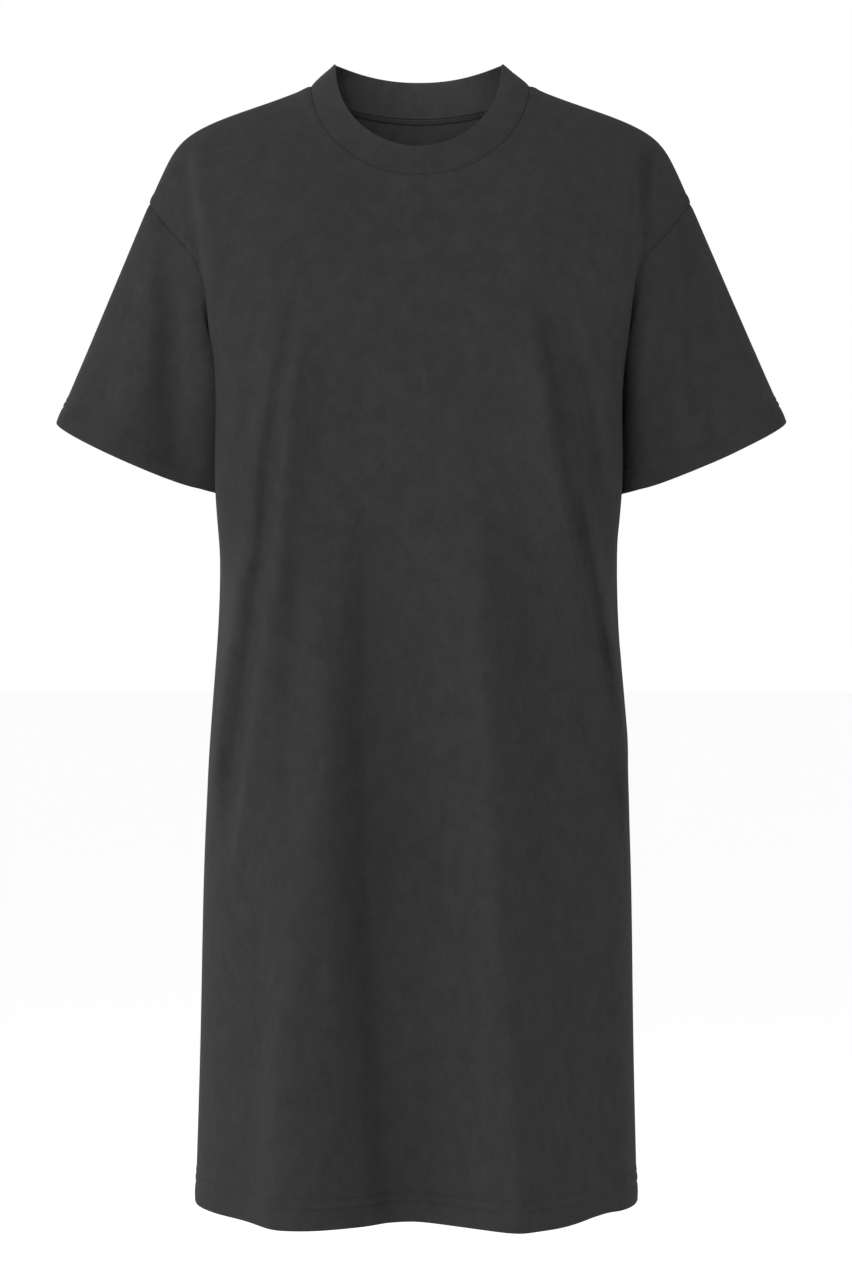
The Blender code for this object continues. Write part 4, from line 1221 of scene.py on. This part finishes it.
def row_at(points, out, gaps, gap):
    """Places and ways out at one distance from an edge, one for each column of a grid."""
    if gaps[0, 0] > gaps[0, -1]:
        points, out, gaps = points[:, ::-1], out[:, ::-1], gaps[:, ::-1]
    places, ways = (np.array([blend(gap, *column) for column in zip(gaps, grid)])
                    for grid in (points, out))
    return places, unit(ways)


def needle_holes(places, ways, pitch):
    """Places evenly spaced along a row, and the way out of the cloth at each."""
    length = lengths_from_first(places[:, None], 0)[:, 0]
    at = np.linspace(0, length[-1], round(length[-1] / pitch) + 1)
    return blend(at, length, places), unit(blend(at, length, ways))


def add_threads(name, starts, ends, up, width, material):
    """One grain of thread from each start to its end, half sunk in the cloth."""
    mesh = bmesh.new()
    bmesh.ops.create_uvsphere(mesh, u_segments=THREAD_SIDES, v_segments=THREAD_RINGS, radius=1.0,
                              matrix=Matrix.Rotation(np.pi / 2, 4, "Y"))
    data = bpy.data.meshes.new(name)
    mesh.to_mesh(data)
    mesh.free()
    one = bpy.data.objects.new(name, data)
    bpy.context.scene.collection.objects.link(one)
    array = one.modifiers.new("row", "ARRAY")
    array.count = len(starts)
    array.use_relative_offset = False
    many = bpy.data.meshes.new_from_object(one.evaluated_get(bpy.context.evaluated_depsgraph_get()))
    corners = np.zeros(len(many.vertices) * 3, np.float32)
    many.vertices.foreach_get("co", corners)
    corners = corners.reshape(len(starts), -1, 3)
    along = ends - starts
    aside = unit(np.cross(up, along))
    above = unit(np.cross(along, aside))
    places = ((starts + ends)[:, None] / 2 + above[:, None] * width * THREAD_PROUD
              + corners[..., :1] * along[:, None] / 2 * STITCH_SHARE
              + corners[..., 1:2] * aside[:, None] * width / 2
              + corners[..., 2:] * above[:, None] * width / 2)
    many.vertices.foreach_set("co", (places * MM).ravel())
    many.shade_smooth()
    many.materials.append(material)
    one.modifiers.remove(array)
    one.data = many
    many.name = name
    bpy.data.meshes.remove(data)
    return one


class DRESS_OT_stitches(bpy.types.Operator):
    """Sews the twin rows of stitches along the hem and both cuffs, and the cover thread inside"""
    bl_idname = "dress.stitches"
    bl_label = "Twin-needle stitches"

    def execute(self, context):
        cut = pattern()
        jersey = context.scene.dress_cloth.jersey_thickness / MM
        panels = cut.panels[-1], cut.panels[1]
        rows = []
        for layers in zip(*(wall(panel, jersey, HEM_TURN) for panel in panels)):
            for line in HEM_LINES:
                halves = (row_at(layer, panel.out, panel.hem_gap, line)
                          for layer, panel in zip(layers, panels))
                rows.append([np.concatenate([front, back[-2:0:-1], front[:1]])
                             for front, back in zip(*halves)])
        self.sew(context, "hem", rows)
        for side, name in ((-1, "right_cuff"), (1, "left_cuff")):
            cloth = cut.sleeve_cloth[side]
            layers = wall(cloth, jersey, CUFF_TURN)
            rows = [row_at(layer, cloth.out, cloth.hem_gap, line)
                    for layer in layers for line in CUFF_LINES]
            self.sew(context, name, rows)
        return {"FINISHED"}

    def sew(self, context, name, rows):
        """Straight stitches on the outside's two rows, and a zigzag between the inside's two."""
        sewing = context.scene.dress_sewing
        pitch, width = sewing.stitch_pitch / MM, sewing.thread_width / MM
        holes = [needle_holes(*row, pitch) for row in rows]
        count = min(len(places) for places, _ in holes)
        outside = [np.concatenate(parts) for parts in zip(*(
            (places[:-1], places[1:], up[:-1]) for places, up in holes[:2]))]
        (low, low_up), (high, _) = [(places[:count], up[:count]) for places, up in holes[2:]]
        inside = [np.concatenate(parts) for parts in (
            (low[:-1], high[:-1]), (high[:-1], low[1:]), (-low_up[:-1], -low_up[:-1]))]
        for part, ends in (("stitches", outside), ("cover_thread", inside)):
            piece = add_threads(f"{name}_{part}", *ends, width, materials()["thread"])
            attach(piece, "root")


class DRESS_OT_stage(bpy.types.Operator):
    """Sets the floor, the soft lights and the camera"""
    bl_idname = "dress.stage"
    bl_label = "Stage"

    def execute(self, context):
        stage = context.scene.dress_stage
        mesh = bmesh.new()
        bmesh.ops.create_circle(mesh, cap_ends=True, segments=FLOOR_SIDES, radius=FLOOR_RADIUS,
                                matrix=Matrix.Translation((0, 0, -stage.floor_depth)))
        data = bpy.data.meshes.new("studio_floor")
        mesh.to_mesh(data)
        mesh.free()
        # matt white paint, so smooth that it shows no grain, and no shine either
        data.materials.append(plain_material("painted_floor", linear("#fcfcfc"), 1.0))
        floor = bpy.data.objects.new("studio_floor", data)
        context.scene.collection.objects.link(floor)
        for name, (place, width) in LAMPS.items():
            light = bpy.data.lights.new(name, "AREA")
            light.shape = "DISK"
            light.size = width
            light.energy = getattr(stage, f"{name}_power")
            self.hang(context, light, place, LAMPS_AIM)
        collar = bpy.data.lights.new("collar", "SPOT")
        collar.energy = stage.collar_power
        collar.spot_size = COLLAR_CONE
        collar.spot_blend = 1.0
        collar.shadow_soft_size = COLLAR_WIDTH
        self.hang(context, collar, COLLAR_PLACE, COLLAR_AIM)
        world = bpy.data.worlds.new("studio")
        world.use_nodes = True
        sky = world.node_tree.nodes["Background"]
        sky.inputs["Color"].default_value = (1.0, 1.0, 1.0, 1.0)
        sky.inputs["Strength"].default_value = stage.room_light
        context.scene.world = world
        context.scene.view_settings.view_transform = "Standard"
        eye = bpy.data.cameras.new("camera")
        eye.sensor_width = SENSOR
        eye.lens = SENSOR * stage.camera_distance / FRAME_HEIGHT
        camera = bpy.data.objects.new("camera", eye)
        camera.location = CAMERA_X, -stage.camera_distance, CAMERA_Z
        camera.rotation_euler = (np.pi / 2, 0.0, 0.0)
        context.scene.collection.objects.link(camera)
        context.scene.camera = camera
        return {"FINISHED"}

    def hang(self, context, light, place, target):
        """Puts a light at a place, facing a target."""
        lamp = bpy.data.objects.new(light.name, light)
        lamp.location = place
        lamp.rotation_euler = (Vector(target) - Vector(place)).to_track_quat("-Z", "Y").to_euler()
        context.scene.collection.objects.link(lamp)


class DRESS_PT_sidebar(bpy.types.Panel):
    """The dress in the sidebar"""
    bl_idname = "DRESS_PT_sidebar"
    bl_label = "T-shirt Dress"
    bl_space_type = "VIEW_3D"
    bl_region_type = "UI"
    bl_category = "Dress"

    def draw(self, context):
        for settings in (context.scene.dress_cloth, context.scene.dress_sewing,
                         context.scene.dress_stage):
            column = self.layout.column(align=True)
            for name in settings.__annotations__:
                column.prop(settings, name)
        for operator in OPERATORS:
            self.layout.operator(operator.bl_idname)


SETTINGS = {"dress_cloth": DressCloth, "dress_sewing": DressSewing, "dress_stage": DressStage}
OPERATORS = (DRESS_OT_panels, DRESS_OT_sleeves, DRESS_OT_neckband, DRESS_OT_stitches, DRESS_OT_stage)


def register():
    for kind in (*SETTINGS.values(), *OPERATORS, DRESS_PT_sidebar):
        bpy.utils.register_class(kind)
    for name, kind in SETTINGS.items():
        setattr(bpy.types.Scene, name, bpy.props.PointerProperty(type=kind))


def unregister():
    for name in SETTINGS:
        delattr(bpy.types.Scene, name)
    for kind in reversed((*SETTINGS.values(), *OPERATORS, DRESS_PT_sidebar)):
        bpy.utils.unregister_class(kind)


def main():
    register()
    bpy.ops.dress.stage()
    bpy.ops.dress.stitches()
    bpy.ops.dress.neckband()
    bpy.ops.dress.sleeves()
    bpy.ops.dress.panels()


if __name__ == "__main__":
    main()
